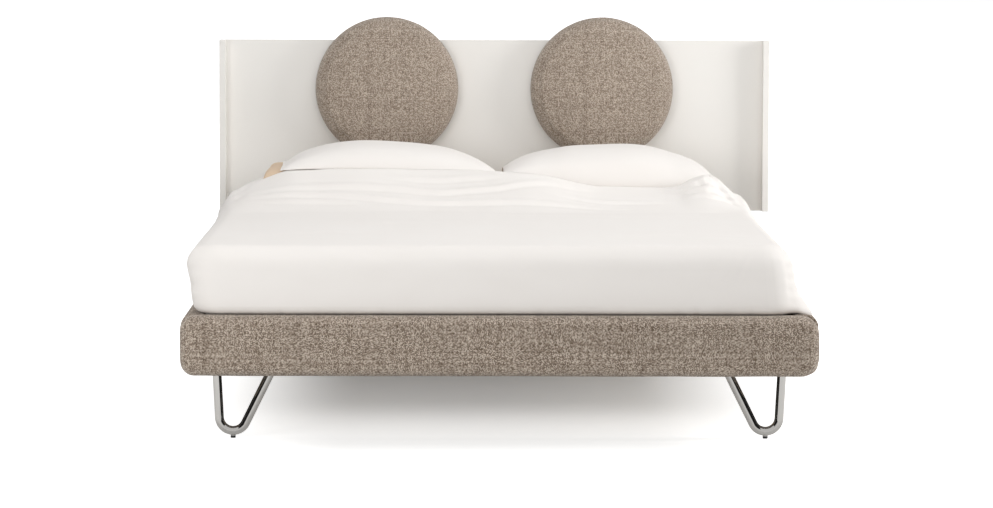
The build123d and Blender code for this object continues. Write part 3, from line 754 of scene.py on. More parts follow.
@dataclass
class PaddedRails:
    """The four padded rails: rounded covers that stand for the woven cover and the foam under it.

    Attributes:
        corner_radius: The rounding of the ring's corners in plan.
        cover_return: How far the cover is folded over the board's inner face.
        recess: How much deeper the bare board lies there.
        cut_radius: The small rounding where a side rail is cut square.
        softness: How far the foam is uneven.
        end_radii: The rounding of a crosswise rail over its left end and over its right one.
    """

    finishes: Finishes
    outer_radius: float = 0.033
    inner_radius: float = 0.010
    corner_radius: float = 0.036
    cover_return: float = 0.022
    recess: float = 0.0024
    station_step: float = 0.008
    girth_step: float = 0.009
    cut_radius: float = 0.0015
    softness: float = 0.0007
    end_radii: tuple[float, float] = (0.040, 0.050)

    def section(self, thickness: float, height: float, recess: float) -> np.ndarray:
        """A rail's cross-section.

        Args:
            thickness: From the outer face to the inner one.
            height: From the underside to the top.
            recess: How deep the bare strip of the inner face lies.

        Returns:
            Points as depth from the outer face and height above the underside, in order round.
        """
        r, q = self.outer_radius, self.inner_radius
        low, high = self.cover_return, height - self.cover_return
        points = arc((r, r), r, 180, 270, 12) + arc((thickness - q, q), q, -90, 0, 7)
        points += [(thickness, low), (thickness - recess, low + 0.0005), (thickness - recess, high - 0.0005),
                   (thickness, high)]
        points += arc((thickness - q, height - q), q, 0, 90, 7) + arc((r, height - r), r, 90, 180, 12)
        points.append(points[0])
        return np.array(evenly(points, self.girth_step)[:-1])

    def stations(self, half_length: float, rounding: float) -> np.ndarray:
        """Distances from the rail's middle, closer together at its ends.

        Args:
            half_length: Half the rail's length.
            rounding: The reach of its rounded ends.

        Returns:
            The distances, from one end to the other.
        """
        flat = np.linspace(-half_length + rounding, half_length - rounding,
                           math.ceil(2 * half_length / self.station_step))
        turn = half_length - rounding + rounding * np.sin(np.radians(np.linspace(0, 90, 16)))[1:]
        return np.concatenate((-turn[::-1], flat, turn))

    def bar(self, name: str, node: str, crosswise: bool, outward: int) -> bpy.types.Object:
        """Builds one rail's cover.

        Args:
            name: The piece's name.
            node: The CAD node of the cover, which gives its place.
            crosswise: Whether the rail runs across the bed, with rounded ends.
            outward: The sign of its outer side.

        Returns:
            The cover.
        """
        low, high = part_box(node)
        across, along = (1, 0) if crosswise else (0, 1)
        height = high.z - low.z
        thickness = high[across] - low[across]
        outer = high[across] if outward > 0 else low[across]
        middle = (low[along] + high[along]) / 2
        half = (high[along] - low[along]) / 2
        section = self.section(thickness, height, self.recess)
        plain = self.section(thickness, height, 0.0)
        rows = []
        stations = self.stations(half, max(self.end_radii) if crosswise else self.cut_radius)
        for station in stations:
            ring = section if abs(station) < half - (thickness if crosswise else self.cut_radius) else plain
            if crosswise:
                depth_inset = self.round_off(abs(station), half, self.corner_radius)
                level_inset = self.round_off(abs(station), half, self.end_radii[int(station > 0)])
            else:
                depth_inset = level_inset = self.round_off(abs(station), half, self.cut_radius)
            depth = depth_inset + ring[:, 0] * (thickness - depth_inset * (1 if crosswise else 2)) / thickness
            level = level_inset + ring[:, 1] * (height - 2 * level_inset) / height
            place = np.zeros((len(ring), 3))
            place[:, across] = outer - outward * depth
            place[:, along] = middle + station
            place[:, 2] = low.z + level
            rows.append(place)
        points = np.vstack(rows)
        count = len(section)
        faces = grid_faces(len(rows), count, round_columns=True)
        for start in (0, (len(rows) - 1) * count):
            faces.append(tuple(range(start, start + count)))
        piece = make_piece(name, points, faces)
        self.lay_cloth(piece, stations, section)
        self.soften(piece)
        crease_by_angle(piece, 50)
        return piece

    @staticmethod
    def lay_cloth(piece: bpy.types.Object, stations: np.ndarray, section: np.ndarray) -> None:
        """Wraps the cloth round the rail: along its length one way and round its section the other.

        Args:
            piece: The rail, whose points stand section after section.
            stations: Where the sections stand along it.
            section: The points of one section.
        """
        mesh, count = piece.data, len(section)
        girth = np.concatenate(([0.0], np.cumsum(np.linalg.norm(np.diff(section, axis=0), axis=1))))
        total = girth[-1] + np.linalg.norm(section[-1] - section[0])
        places = np.zeros((len(mesh.loops), 2))
        for face in mesh.polygons:
            corners = list(face.loop_indices)
            at = np.array([mesh.loops[corner].vertex_index for corner in corners])
            across = at % count
            if len(corners) > 4:
                places[corners] = section[across]
                continue
            seam = across.max() - across.min() > 1
            places[corners, 0] = stations[at // count]
            places[corners, 1] = np.where(seam & (across == 0), total, girth[across])
        lay_weave(piece, places)

    @staticmethod
    def round_off(station: float, half: float, radius: float) -> float:
        """How far a face lies inside the full section at a station near a rounded end."""
        into = max(0.0, station - (half - radius))
        return radius - math.sqrt(max(0.0, radius**2 - into**2))

    def soften(self, piece: bpy.types.Object) -> None:
        """Gives the padding the slight unevenness of foam under stretched cloth.

        Args:
            piece: The rail.
        """
        places = read_points(piece)
        swell = self.softness * drift(places, 0.16, 3) + 0.4 * self.softness * drift(places, 0.05, 4)
        write_points(piece, places + read_points(piece, "normal") * swell[:, None])

    def build(self) -> None:
        """Builds and dresses the four rails."""
        for rail, crosswise, outward in (("foot_rail", True, -1), ("head_rail", True, 1),
                                         ("side_rail_left", False, -1), ("side_rail_right", False, 1)):
            piece = self.bar(f"{rail}_padding", f"{rail}_cover", crosswise, outward)
            coat(piece, self.finishes.tweed)
            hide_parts(f"{rail}_cover", f"{rail}_foam")
            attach(piece, "frame")
            log.info("%s", piece.name)


@dataclass
class LoopLegs:
    """The four loops of chromed tube with their welded top plates and threaded bosses.

    Attributes:
        outer_lean: The lean of the strand nearer the bed's side.
        inner_lean: The lean of the strand nearer its middle.
        foot_x: How far the bend stands from the bed's middle.
        boss_proud: How far the boss hangs below the bend.
    """

    finishes: Finishes
    tube_radius: float = 0.0125
    bend_radius: float = 0.038
    outer_lean: float = math.radians(3.0)
    inner_lean: float = math.radians(26.3)
    foot_x: float = 0.735
    glide_height: float = 0.006
    boss_proud: float = 0.0015
    boss_radius: float = 0.007
    boss_height: float = 0.012
    plate_width: float = 0.206
    plate_thickness: float = 0.006
    plate_corner: float = 0.008
    plate_edge: float = 0.0006
    bend_steps: int = 28
    round_steps: int = 48
    tubes: TubeAlongPath = field(default_factory=TubeAlongPath)

    def meeting_point(self) -> tuple[float, float]:
        """Where the lines of the two strands would meet, as distance from the middle and height.

        Returns:
            The distance and the height.
        """
        centre = self.glide_height + self.boss_proud + self.tube_radius + self.bend_radius
        reach = self.bend_radius / math.sin((self.inner_lean + self.outer_lean) / 2)
        tilt = (self.inner_lean - self.outer_lean) / 2
        return self.foot_x + reach * math.sin(tilt), centre - reach * math.cos(tilt)

    def plate(self, name: str, side: Side, end: End) -> bpy.types.Object:
        """The welded top plate, with its edges broken.

        Args:
            name: The piece's name.
            side: The leg's side.
            end: The leg's end.

        Returns:
            The plate.
        """
        low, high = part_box(f"leg_{end.word}_{side.word}")
        width = min(high.x - low.x, self.plate_width)
        inner = low.x if side is Side.RIGHT else high.x - width
        middle = Vector((inner + width / 2, (low.y + high.y) / 2, high.z - self.plate_thickness / 2))
        grow = Matrix.Diagonal((width, high.y - low.y, self.plate_thickness, 1))
        shell = bmesh.new()
        bmesh.ops.create_cube(shell, size=1.0)
        bmesh.ops.transform(shell, matrix=Matrix.Translation(middle) @ grow, verts=shell.verts)
        for upright, offset, segments in ((True, self.plate_corner, 6), (False, self.plate_edge, 2)):
            edges = [edge for edge in shell.edges
                     if (abs((edge.verts[0].co - edge.verts[1].co).z) > self.plate_thickness / 2) is upright]
            bmesh.ops.bevel(shell, geom=edges, offset=offset, segments=segments, profile=0.5, affect="EDGES")
        mesh = bpy.data.meshes.new(name)
        shell.to_mesh(mesh)
        shell.free()
        return add_object(name, mesh)

    def turned(self, name: str, profile: Sequence[tuple[float, float]], at: Vector,
               lean: float) -> bpy.types.Object:
        """A turned detail of the leg, stretched along X where a leaning tube meets the plate.

        Args:
            name: The piece's name.
            profile: Its points as radius and height.
            at: Where its axis stands.
            lean: How far the tube leans there.

        Returns:
            The detail.
        """
        piece = lathe(name, profile, 32)
        stretch = Matrix.Diagonal((1 / math.cos(lean), 1, 1, 1))
        piece.data.transform(Matrix.Translation(at) @ stretch)
        return piece

    def leg(self, side: Side, end: End) -> bpy.types.Object:
        """Builds one leg.

        Args:
            side: Its side.
            end: Its end.

        Returns:
            The leg as one piece.
        """
        node = f"leg_{end.word}_{side.word}"
        plate_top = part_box(node)[1].z
        glide_low, glide_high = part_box(f"glide_{end.word}_{side.word}")
        y = (glide_low.y + glide_high.y) / 2
        meet_x, meet_z = self.meeting_point()
        top, under = plate_top - self.plate_thickness / 2, plate_top - self.plate_thickness
        rise = top - meet_z
        outer = (side.value * (meet_x + rise * math.tan(self.outer_lean)), y, top)
        inner = (side.value * (meet_x - rise * math.tan(self.inner_lean)), y, top)
        tube = self.tubes.bend("tube", [outer, (side.value * meet_x, y, meet_z), inner],
                               {"Tube radius": self.tube_radius, "Bend radius": self.bend_radius,
                                "Bend steps": self.bend_steps, "Round steps": self.round_steps,
                                "Finish": self.finishes.chrome})
        bead = [(self.tube_radius + out, level) for out, level in
                ((-0.001, 0.0), (0.0032, 0.0), (0.0026, -0.0016), (0.001, -0.003), (-0.001, -0.0036))]
        welds = []
        share = (top - under) / rise
        for point, lean in ((outer, self.outer_lean), (inner, self.inner_lean)):
            x = point[0] + (side.value * meet_x - point[0]) * share
            welds.append(self.turned("weld", bead, Vector((x, y, under)), lean))
        rim = self.boss_radius
        profile = [(0.003, 0.0), (rim - 0.0005, 0.0), (rim, 0.0005), (rim, self.boss_height),
                   (0.0, self.boss_height)]
        boss = self.turned("boss", profile, Vector((side.value * self.foot_x, y, self.glide_height)), 0.0)
        leg = join_pieces(f"{node}_loop", [tube, self.plate("plate", side, end), *welds, boss])
        crease_by_angle(leg, 40)
        shade_smooth(leg)
        coat(leg, self.finishes.chrome)
        leg.data.polygons.foreach_set("material_index", [0] * len(leg.data.polygons))
        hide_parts(node)
        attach(leg, "frame")
        return leg

    def build(self) -> None:
        """Builds the four legs."""
        for end in End:
            for side in Side:
                log.info("%s", self.leg(side, end).name)


@dataclass
class Headrests:
    """The two round padded headrests, crowned at the front and open at the back over their board.

    Attributes:
        crown: How far the front bulges.
        cover_return: How far the cover is folded over the back.
        board_gap: How far in from the back the board's pocket starts.
        board_depth: How deep that pocket is.
        rim: The thickness of the padding round the board.
    """

    finishes: Finishes
    crown: float = 0.019
    front_radius: float = 0.034
    rear_radius: float = 0.010
    cover_return: float = 0.022
    board_gap: float = 0.0026
    board_depth: float = 0.012
    rim: float = 0.0142
    round_steps: int = 160

    def profile(self, radius: float, depth: float) -> list[tuple[float, float]]:
        """Half the section of a headrest.

        Args:
            radius: Its outer radius.
            depth: Its thickness.

        Returns:
            Points as radius and depth from the back, from the front's middle round to the back.
        """
        shoulder = depth - self.crown
        ball = (radius**2 + self.crown**2) / (2 * self.crown)
        front = [(out, depth - ball + math.sqrt(ball**2 - out**2))
                 for out in np.linspace(0, radius - self.front_radius * 0.72, 26)]
        r, q = self.front_radius, self.rear_radius
        turn = arc((radius - r, shoulder - r), r, 78, 0, 14)
        wall = [(radius, shoulder - r - 0.008 * k) for k in range(1, 3)]
        back = arc((radius - q, q), q, 0, -90, 7)
        pocket = radius - self.rim - 0.001
        hollow = radius - self.rim - self.cover_return
        board = self.board_gap + self.board_depth
        inner = [(hollow, 0.0), (hollow, self.board_gap), (pocket, self.board_gap + 0.0002), (pocket, board),
                 (0.0, board)]
        return front[:-1] + turn + wall + back + inner

    def disc(self, side: Side) -> bpy.types.Object:
        """Builds one headrest's padding.

        Args:
            side: Its side.

        Returns:
            The padding.
        """
        node = f"headrest_{side.word}_cover"
        low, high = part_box(node)
        profile = self.profile((high.x - low.x) / 2, high.y - low.y)
        piece = lathe(f"headrest_{side.word}_padding", profile, self.round_steps)
        places = read_points(piece)
        swell = 0.0009 * drift(places, 0.12, 5 + side.value) + 0.0004 * drift(places, 0.035, 9)
        x, z, y = (places + read_points(piece, "normal") * swell[:, None]).T
        middle = (low + high) / 2
        write_points(piece, np.column_stack((x + middle.x, high.y - y, z + middle.z)))
        self.lay_cloth(piece, middle, low.y)
        crease_by_angle(piece, 50)
        # The headrests wear the lighter copy of the tweed, which paints in the stronger light on them.
        coat(piece, self.finishes.lit_tweed)
        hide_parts(node, f"headrest_{side.word}_foam")
        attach(piece, f"headrest_{side.word}")
        return piece

    @staticmethod
    def lay_cloth(piece: bpy.types.Object, middle: Vector, front: float) -> None:
        """Stretches the cloth flat over the front and on round the edge.

        Args:
            piece: The headrest.
            middle: Its middle.
            front: The Y of its foremost point.
        """
        places = read_points(piece)
        x, z = places[:, 0] - middle.x, places[:, 2] - middle.z
        radius = np.maximum(np.hypot(x, z), 1e-6)
        reach = (radius + places[:, 1] - front) / radius
        flat = np.column_stack((x * reach, z * reach))
        lay_weave(piece, flat[[loop.vertex_index for loop in piece.data.loops]])

    def build(self) -> None:
        """Builds both headrests."""
        for side in Side:
            log.info("%s", self.disc(side).name)


@dataclass(frozen=True)
class Fold:
    """A fold of the cloth along a line in plan: a ridge with a shallow valley beside it."""

    path: tuple[tuple[float, float], ...]
    height: float
    width: float
    valley: float = 0.8

    def lift(self, x: np.ndarray, y: np.ndarray) -> np.ndarray:
        """How far the fold raises each place.

        Args:
            x: The places' X.
            y: Their Y.

        Returns:
            The rise at each, which fades out at the fold's ends.
        """
        place = np.column_stack((x, y))
        corners = np.array(self.path)
        steps = np.diff(corners, axis=0)
        lengths = np.linalg.norm(steps, axis=1)
        starts = np.concatenate(([0.0], np.cumsum(lengths)))
        nearest = np.full(len(place), np.inf)
        beside = np.zeros(len(place))
        along = np.zeros(len(place))
        for corner, step, start, length in zip(corners, steps, starts, lengths):
            gap = place - corner
            share = np.clip(gap @ step / length**2, 0, 1)
            away = np.linalg.norm(gap - share[:, None] * step, axis=1)
            closer = away < nearest
            side = np.sign(step[0] * gap[:, 1] - step[1] * gap[:, 0])
            beside = np.where(closer, side * away / self.width, beside)
            along = np.where(closer, start + share * length, along)
            nearest = np.minimum(nearest, away)
        fade = np.sin(np.pi * np.clip(along / starts[-1], 0.02, 0.98)) ** 0.6
        reach = nearest / self.width
        hollow = self.valley * bump(beside, -1.5, 1.0) * (reach < 4)
        return self.height * fade * (bump(reach, 0.0, 1.0) - hollow)


@dataclass
class Pillow:
    """One stuffed pillow: two panels sewn at the edge, full in the middle and drawn in at its sides.

    Attributes:
        base: The height that its underside rests at.
        seam: The height of its seam.
        top: The height of its fullest place.
        sink: How far its underside sinks below the seam.
        blunt: The two exponents of how it thins towards its left and right ends.
        blunt_along: The same towards its front and rear.
        perch: How far its left end is lifted, and its right one.
        perch_from: Where those lifts start left and right of its middle, as shares of half its width.
        nod: How far its front hangs.
        sag: How far its rear hangs.
        taper: How much sooner it thins at its left end, and at its right one, as factors.
        tucks: How far its front left corner is drawn in, and its rear right one.
        ends: Where its ends lie, or nothing for those of its node.
        blown: Whether it is blown up as cloth.
        cap: The longest way that a point may move then.
        press: How softly its underside is flattened.
    """

    name: str
    node: str
    body: str
    slot: Slot
    finish: bpy.types.Material
    base: float
    seam: float
    top: float
    sink: float
    seed: int
    blunt: tuple[float, float] = (2.7, 0.9)
    blunt_along: tuple[float, float] = (2.6, 0.62)
    perch: tuple[float, float] = (0.0, 0.0)
    perch_from: tuple[float, float] = (0.45, 0.55)
    nod: float = 0.0
    sag: float = 0.0
    taper: tuple[float, float] = (1.0, 1.0)
    tucks: tuple[float, float] = (0.0, 0.0)
    ends: tuple[float, float] | None = None
    blown: bool = True
    cells: tuple[int, int] = (96, 60)
    pressure: float = 4.0
    frames: int = 20
    cap: float = 0.006
    press: float = 0.003

    def __post_init__(self) -> None:
        """Takes the pillow's place and size from its CAD node."""
        low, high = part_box(self.node)
        left, right = self.ends or (low.x, high.x)
        self.centre = ((left + right) / 2, (low.y + high.y) / 2)
        self.size = (right - left, high.y - low.y)

    def fullness(self, u: np.ndarray, v: np.ndarray) -> np.ndarray:
        """How full the pillow is, from 0 at its seam to 1 in its middle.

        Args:
            u: The places across, from -1 to 1.
            v: The places along, from -1 to 1.

        Returns:
            The share of the full height at each.
        """
        slim = u * np.where(u < 0, *self.taper)
        across = (1 - np.abs(np.clip(slim, -1, 1)) ** self.blunt[0]) ** self.blunt[1]
        return across * (1 - np.abs(np.clip(v, -1, 1)) ** self.blunt_along[0]) ** self.blunt_along[1]

    def propped(self, u: np.ndarray, v: np.ndarray) -> np.ndarray:
        """How far the pillow is lifted at its ends by what lies there, and hangs at its front and rear.

        Args:
            u: The places across, from -1 to 1.
            v: The places along, from -1 to 1.

        Returns:
            The rise at each.
        """
        lifted = self.perch[0] * ease(u, -self.perch_from[0], -1.0)
        lifted = lifted + self.perch[1] * ease(u, self.perch_from[1], 1.0)
        return lifted - self.nod * ease(v, -0.78, -1.0) - self.sag * ease(v, 0.62, 1.0)

    def underside(self, x: np.ndarray, y: np.ndarray) -> np.ndarray:
        """The height of the pillow's lower panel over the bed, or far above it beside the pillow.

        Args:
            x: The places' X.
            y: Their Y.

        Returns:
            The height at each.
        """
        u = (x - self.centre[0]) / (self.size[0] / 2)
        v = (y - self.centre[1]) / (self.size[1] / 2)
        level = np.maximum(self.seam - self.sink * self.fullness(u, v), self.base) + self.propped(u, v)
        return np.where((np.abs(u) < 1) & (np.abs(v) < 1), level, 9.0)

    def shell(self) -> tuple[np.ndarray, list[tuple[int, ...]]]:
        """The pillow as two curved grids sewn at the rim.

        Returns:
            Its points, and its faces.
        """
        columns, rows = self.cells
        u, v = np.meshgrid(np.linspace(-1, 1, columns), np.linspace(-1, 1, rows))
        u, v = u.ravel(), v.ravel()
        x = self.size[0] / 2 * u * (1 - 0.012 * (1 - v**2) * np.abs(u) ** 3)
        y = self.size[1] / 2 * v * (1 - 0.040 * (1 - u**2) * np.abs(v) ** 3)
        x += self.tucks[0] * ease(v, 0.3, -0.9) * ease(u, -0.5, -1.0)
        x -= self.tucks[1] * ease(v, -0.6, 1.0) * ease(u, 0.4, 1.0)
        full = self.fullness(u, v)
        soft = 1 + 0.05 * drift(np.column_stack((x, y, np.zeros_like(x))), 0.2, self.seed)
        upper = np.column_stack((x + self.centre[0], y + self.centre[1],
                                 self.seam + (self.top - self.seam) * full * soft))
        lower = upper.copy()
        lower[:, 2] = self.seam - self.sink * full
        faces, count = grid_faces(rows, columns), columns * rows
        return np.vstack((upper, lower)), faces + [tuple(count + k for k in reversed(face)) for face in faces]

    def blow_up(self, piece: bpy.types.Object) -> None:
        """Fills the pillow with air as cloth, so that its panels pull at the seam.

        Args:
            piece: The pillow.
        """
        start = read_points(piece)
        cloth = piece.modifiers.new("cloth", "CLOTH")
        for key, value in (("quality", 5), ("mass", 0.25), ("tension_stiffness", 12),
                           ("compression_stiffness", 12), ("shear_stiffness", 5), ("bending_stiffness", 0.15),
                           ("use_pressure", True), ("uniform_pressure_force", self.pressure)):
            setattr(cloth.settings, key, value)
        cloth.settings.effector_weights.gravity = 0.0
        cloth.point_cache.frame_start = 1
        cloth.point_cache.frame_end = self.frames
        scene = bpy.context.scene
        for step in range(1, self.frames + 1):
            scene.frame_set(step)
        bake_modifiers(piece)
        scene.frame_set(1)
        moved = read_points(piece) - start
        far = np.linalg.norm(moved, axis=1, keepdims=True)
        write_points(piece, start + moved * np.minimum(1.0, self.cap / np.maximum(far, 1e-9)))

    def settle(self, piece: bpy.types.Object) -> None:
        """Fits the pillow to its height and presses its underside on what it lies on.

        Args:
            piece: The pillow.
        """
        places = read_points(piece)
        over = places[:, 2] > self.seam
        fit = (self.top - self.seam) / (places[:, 2].max() - self.seam)
        places[over, 2] = self.seam + (places[over, 2] - self.seam) * fit
        places[:, 2] = self.base + self.press * np.logaddexp(0.0, (places[:, 2] - self.base) / self.press)
        u, v = ((places[:, k] - self.centre[k]) / (self.size[k] / 2) for k in range(2))
        places[:, 2] += self.propped(u, v)
        write_points(piece, places)

    def build(self) -> bpy.types.Object:
        """Builds the pillow.

        Returns:
            The pillow.
        """
        piece = make_piece(self.name, *self.shell())
        if self.blown:
            self.blow_up(piece)
        self.settle(piece)
        smooth = piece.modifiers.new("smooth", "SUBSURF")
        smooth.levels = smooth.render_levels = 1
        bake_modifiers(piece)
        shade_smooth(piece)
        coat(piece, self.finish)
        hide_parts(self.node)
        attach(piece, self.body)
        log.info("%s", piece.name)
        return piece


@dataclass
class Coverlet:
    """The white coverlet: over the mattress, up over the lower pillows and tucked in behind the rails.

    Attributes:
        close_columns: How many more columns of points the right side has, for its crumples.
        close_from: Where they start, as a share of half the width.
        rim: How far the sides stand out from the top's edge.
        plan_radius: The rounding of the foot's corners in plan.
        level: The height of the flat part.
        rise_foot: Where the climb over the pillows starts along the bed.
        rise_head: Where it ends.
        hem: Where the edge over the lower pillows runs.
        side_start: How far from the middle its side strips start, which go on to the head.
        pillow_gap: How far it stays under the upper pillows.
        flat_size: Its size when it is laid flat.
        puckers: Where each pucker over the tuck stands, and how deep it is.
        folds: The folds of the top.
    """

    finishes: Finishes
    pillows: Sequence[Pillow]
    columns: int = 140
    close_columns: int = 30
    close_from: float = 0.70
    flat_step: float = 0.020
    rise_step: float = 0.0055
    thickness: float = 0.003
    rim: float = 0.055
    plan_radius: float = 0.085
    level: float = 0.5355
    rise_foot: float = 0.165
    rise_head: float = 0.492
    hem: float = 0.690
    side_start: float = 0.702
    pillow_gap: float = 0.0008
    section_steps: int = 30
    flat_size: tuple[float, float] = (2.10, 2.30)
    puckers: tuple[tuple[float, float], ...] = (
        (-0.825, 0.004), (-0.735, 0.003), (-0.59, 0.003), (-0.31, 0.002), (0.12, 0.002), (0.50, 0.003),
        (0.552, 0.004), (0.70, 0.003))
    folds: tuple[Fold, ...] = (
        Fold(((-0.74, 0.372), (-0.60, 0.362), (-0.46, 0.345), (-0.33, 0.312), (-0.20, 0.288), (0.0, 0.272),
              (0.19, 0.262), (0.40, 0.243)), 0.0065, 0.014),
        Fold(((-0.73, 0.414), (-0.49, 0.404), (-0.27, 0.388), (-0.15, 0.364), (0.03, 0.376), (0.19, 0.425),
              (0.30, 0.440)), 0.0055, 0.014),
        Fold(((-0.30, 0.456), (-0.14, 0.446), (0.04, 0.452)), 0.0045, 0.012),
        Fold(((-0.70, 0.318), (-0.52, 0.300), (-0.38, 0.280)), 0.0035, 0.014),
        Fold(((0.22, 0.352), (0.40, 0.330), (0.56, 0.345)), 0.0035, 0.014),
        Fold(((0.58, 0.484), (0.65, 0.462), (0.73, 0.472)), 0.0075, 0.011),
        Fold(((0.60, 0.428), (0.68, 0.408), (0.77, 0.428)), 0.0080, 0.012),
        Fold(((0.62, 0.372), (0.70, 0.358), (0.79, 0.376)), 0.0060, 0.012),
        Fold(((0.645, 0.500), (0.675, 0.460), (0.69, 0.415)), 0.0040, 0.009),
        Fold(((0.54, 0.470), (0.60, 0.448), (0.66, 0.456)), 0.0045, 0.010),
        Fold(((0.705, 0.54), (0.735, 0.48), (0.76, 0.41), (0.785, 0.32)), 0.0080, 0.013),
        Fold(((0.655, 0.51), (0.675, 0.56), (0.69, 0.62)), 0.0050, 0.011),
        Fold(((-0.81, 0.44), (-0.77, 0.49), (-0.73, 0.56)), 0.0050, 0.012),
        Fold(((-0.82, 0.33), (-0.79, 0.40), (-0.76, 0.46)), 0.0045, 0.012),
        Fold(((-0.60, -0.30), (-0.20, -0.22), (0.25, -0.26)), 0.0022, 0.030),
        Fold(((0.10, 0.06), (0.38, 0.02), (0.70, 0.08)), 0.0022, 0.028),
        Fold(((-0.72, -0.70), (-0.48, -0.60), (-0.22, -0.58)), 0.0020, 0.028),
        Fold(((0.30, -0.72), (0.55, -0.66), (0.76, -0.74)), 0.0020, 0.026),
    )

    def layout(self) -> tuple[np.ndarray, np.ndarray, list[tuple[int, int]]]:
        """Lays the flat grid out.

        Returns:
            The points of the top sheet in plan, those of its rim with the direction outwards from each,
            and the rim's rows and columns in order.
        """
        low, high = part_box("coverlet")
        half = high.x - self.rim
        front, back = low.y + self.rim, high.y
        r = self.plan_radius - self.rim
        ends = front + r * (1 - np.cos(np.radians(np.linspace(0, 90, 7))))
        rise = self.rise_foot + 0.02
        rows = np.concatenate((ends, np.arange(ends[-1] + self.flat_step, rise, self.flat_step),
                               np.arange(rise, self.hem + 0.02, self.rise_step),
                               np.linspace(self.hem + 0.03, back, 13)))
        across = np.sort(np.concatenate((np.linspace(-1, 1, self.columns),
                                         np.linspace(self.close_from, 0.9995, self.close_columns))))
        grid = np.zeros((len(rows), len(across), 2))
        for i, y in enumerate(rows):
            into = max(0.0, r - (y - front))
            grid[i, :, 0] = across * (half - r + math.sqrt(max(0.0, r * r - into * into)))
            grid[i, :, 1] = y
        last = len(across) - 1
        loop = [(i, 0) for i in range(len(rows) - 1, -1, -1)] + [(0, j) for j in range(1, last)]
        loop += [(i, last) for i in range(len(rows))]
        base = np.array([grid[i, j] for i, j in loop])
        core = np.column_stack((np.clip(base[:, 0], -half + r, half - r), np.maximum(base[:, 1], front + r)))
        gap = base - core
        return grid, np.column_stack((base, gap / np.linalg.norm(gap, axis=1, keepdims=True))), loop

    def drop(self) -> np.ndarray:
        """The side's section: how far out and how high, from the top's rim down to the tuck.

        Returns:
            Its points, evenly spaced.
        """
        knots = np.array([(0.0, 0.5355), (0.012, 0.5338), (0.022, 0.5290), (0.031, 0.5210),
                          (0.040, 0.5105), (0.0475, 0.4980), (0.0525, 0.4800), (0.0550, 0.4520),
                          (0.0556, 0.4220), (0.0556, 0.3920), (0.0550, 0.3740), (0.0534, 0.3620),
                          (0.0500, 0.3535), (0.0440, 0.3485), (0.0350, 0.3468), (0.0250, 0.3458),
                          (0.0190, 0.3400), (0.0190, 0.3190)])
        length = np.concatenate(([0], np.cumsum(np.linalg.norm(np.diff(knots, axis=0), axis=1))))
        at = np.linspace(0, length[-1], self.section_steps)
        return np.column_stack([np.interp(at, length, knots[:, k]) for k in range(2)])

    @staticmethod
    def crest(x: np.ndarray) -> np.ndarray:
        """The height over the lower pillows at each X, smoothed over a short reach.

        Args:
            x: The places' X.

        Returns:
            The height at each.
        """
        knots = [(-0.83, 0.540), (-0.79, 0.574), (-0.755, 0.597), (-0.72, 0.611), (-0.70, 0.618),
                 (-0.655, 0.635), (-0.62, 0.645), (-0.60, 0.648), (-0.05, 0.645), (0.0, 0.641),
                 (0.03, 0.640), (0.12, 0.636), (0.20, 0.625), (0.28, 0.605), (0.34, 0.594),
                 (0.55, 0.592), (0.60, 0.598), (0.64, 0.622), (0.68, 0.636),
                 (0.705, 0.631), (0.735, 0.610), (0.76, 0.588), (0.79, 0.560), (0.82, 0.542)]
        at, height = zip(*knots)
        return np.mean([np.interp(x + shift, at, height) for shift in np.linspace(-0.009, 0.009, 5)], axis=0)

    def height(self, x: np.ndarray, y: np.ndarray) -> np.ndarray:
        """The height of the top sheet over the bed.

        Args:
            x: The places' X.
            y: Their Y.

        Returns:
            Their Z.
        """
        level = self.level + 0.004 * ease(y, -1.0, -0.6) * ease(np.abs(x), 0.8, 0.3)
        meander = 0.018 * np.sin(5.3 * x + 0.7) + 0.012 * np.sin(11.9 * x)
        climb = np.clip((y + meander - self.rise_foot) / (self.rise_head - self.rise_foot), 0, 1) ** 1.45
        headward = 1 - ease(y, 0.63, 0.70) * ease(np.abs(x), 0.685, self.side_start)
        raised = level + (self.crest(x) - self.level) * climb * headward
        for fold in self.folds:
            raised = raised + fold.lift(x, y)
        for pillow in self.pillows:
            raised = np.minimum(raised, pillow.underside(x, y) - self.pillow_gap)
        return raised

    def hem_line(self, x: np.ndarray | float) -> np.ndarray | float:
        """Where the edge over the lower pillows runs; it is drawn back at the left end."""
        return self.hem - 0.175 * ease(x, -0.60, -0.69)

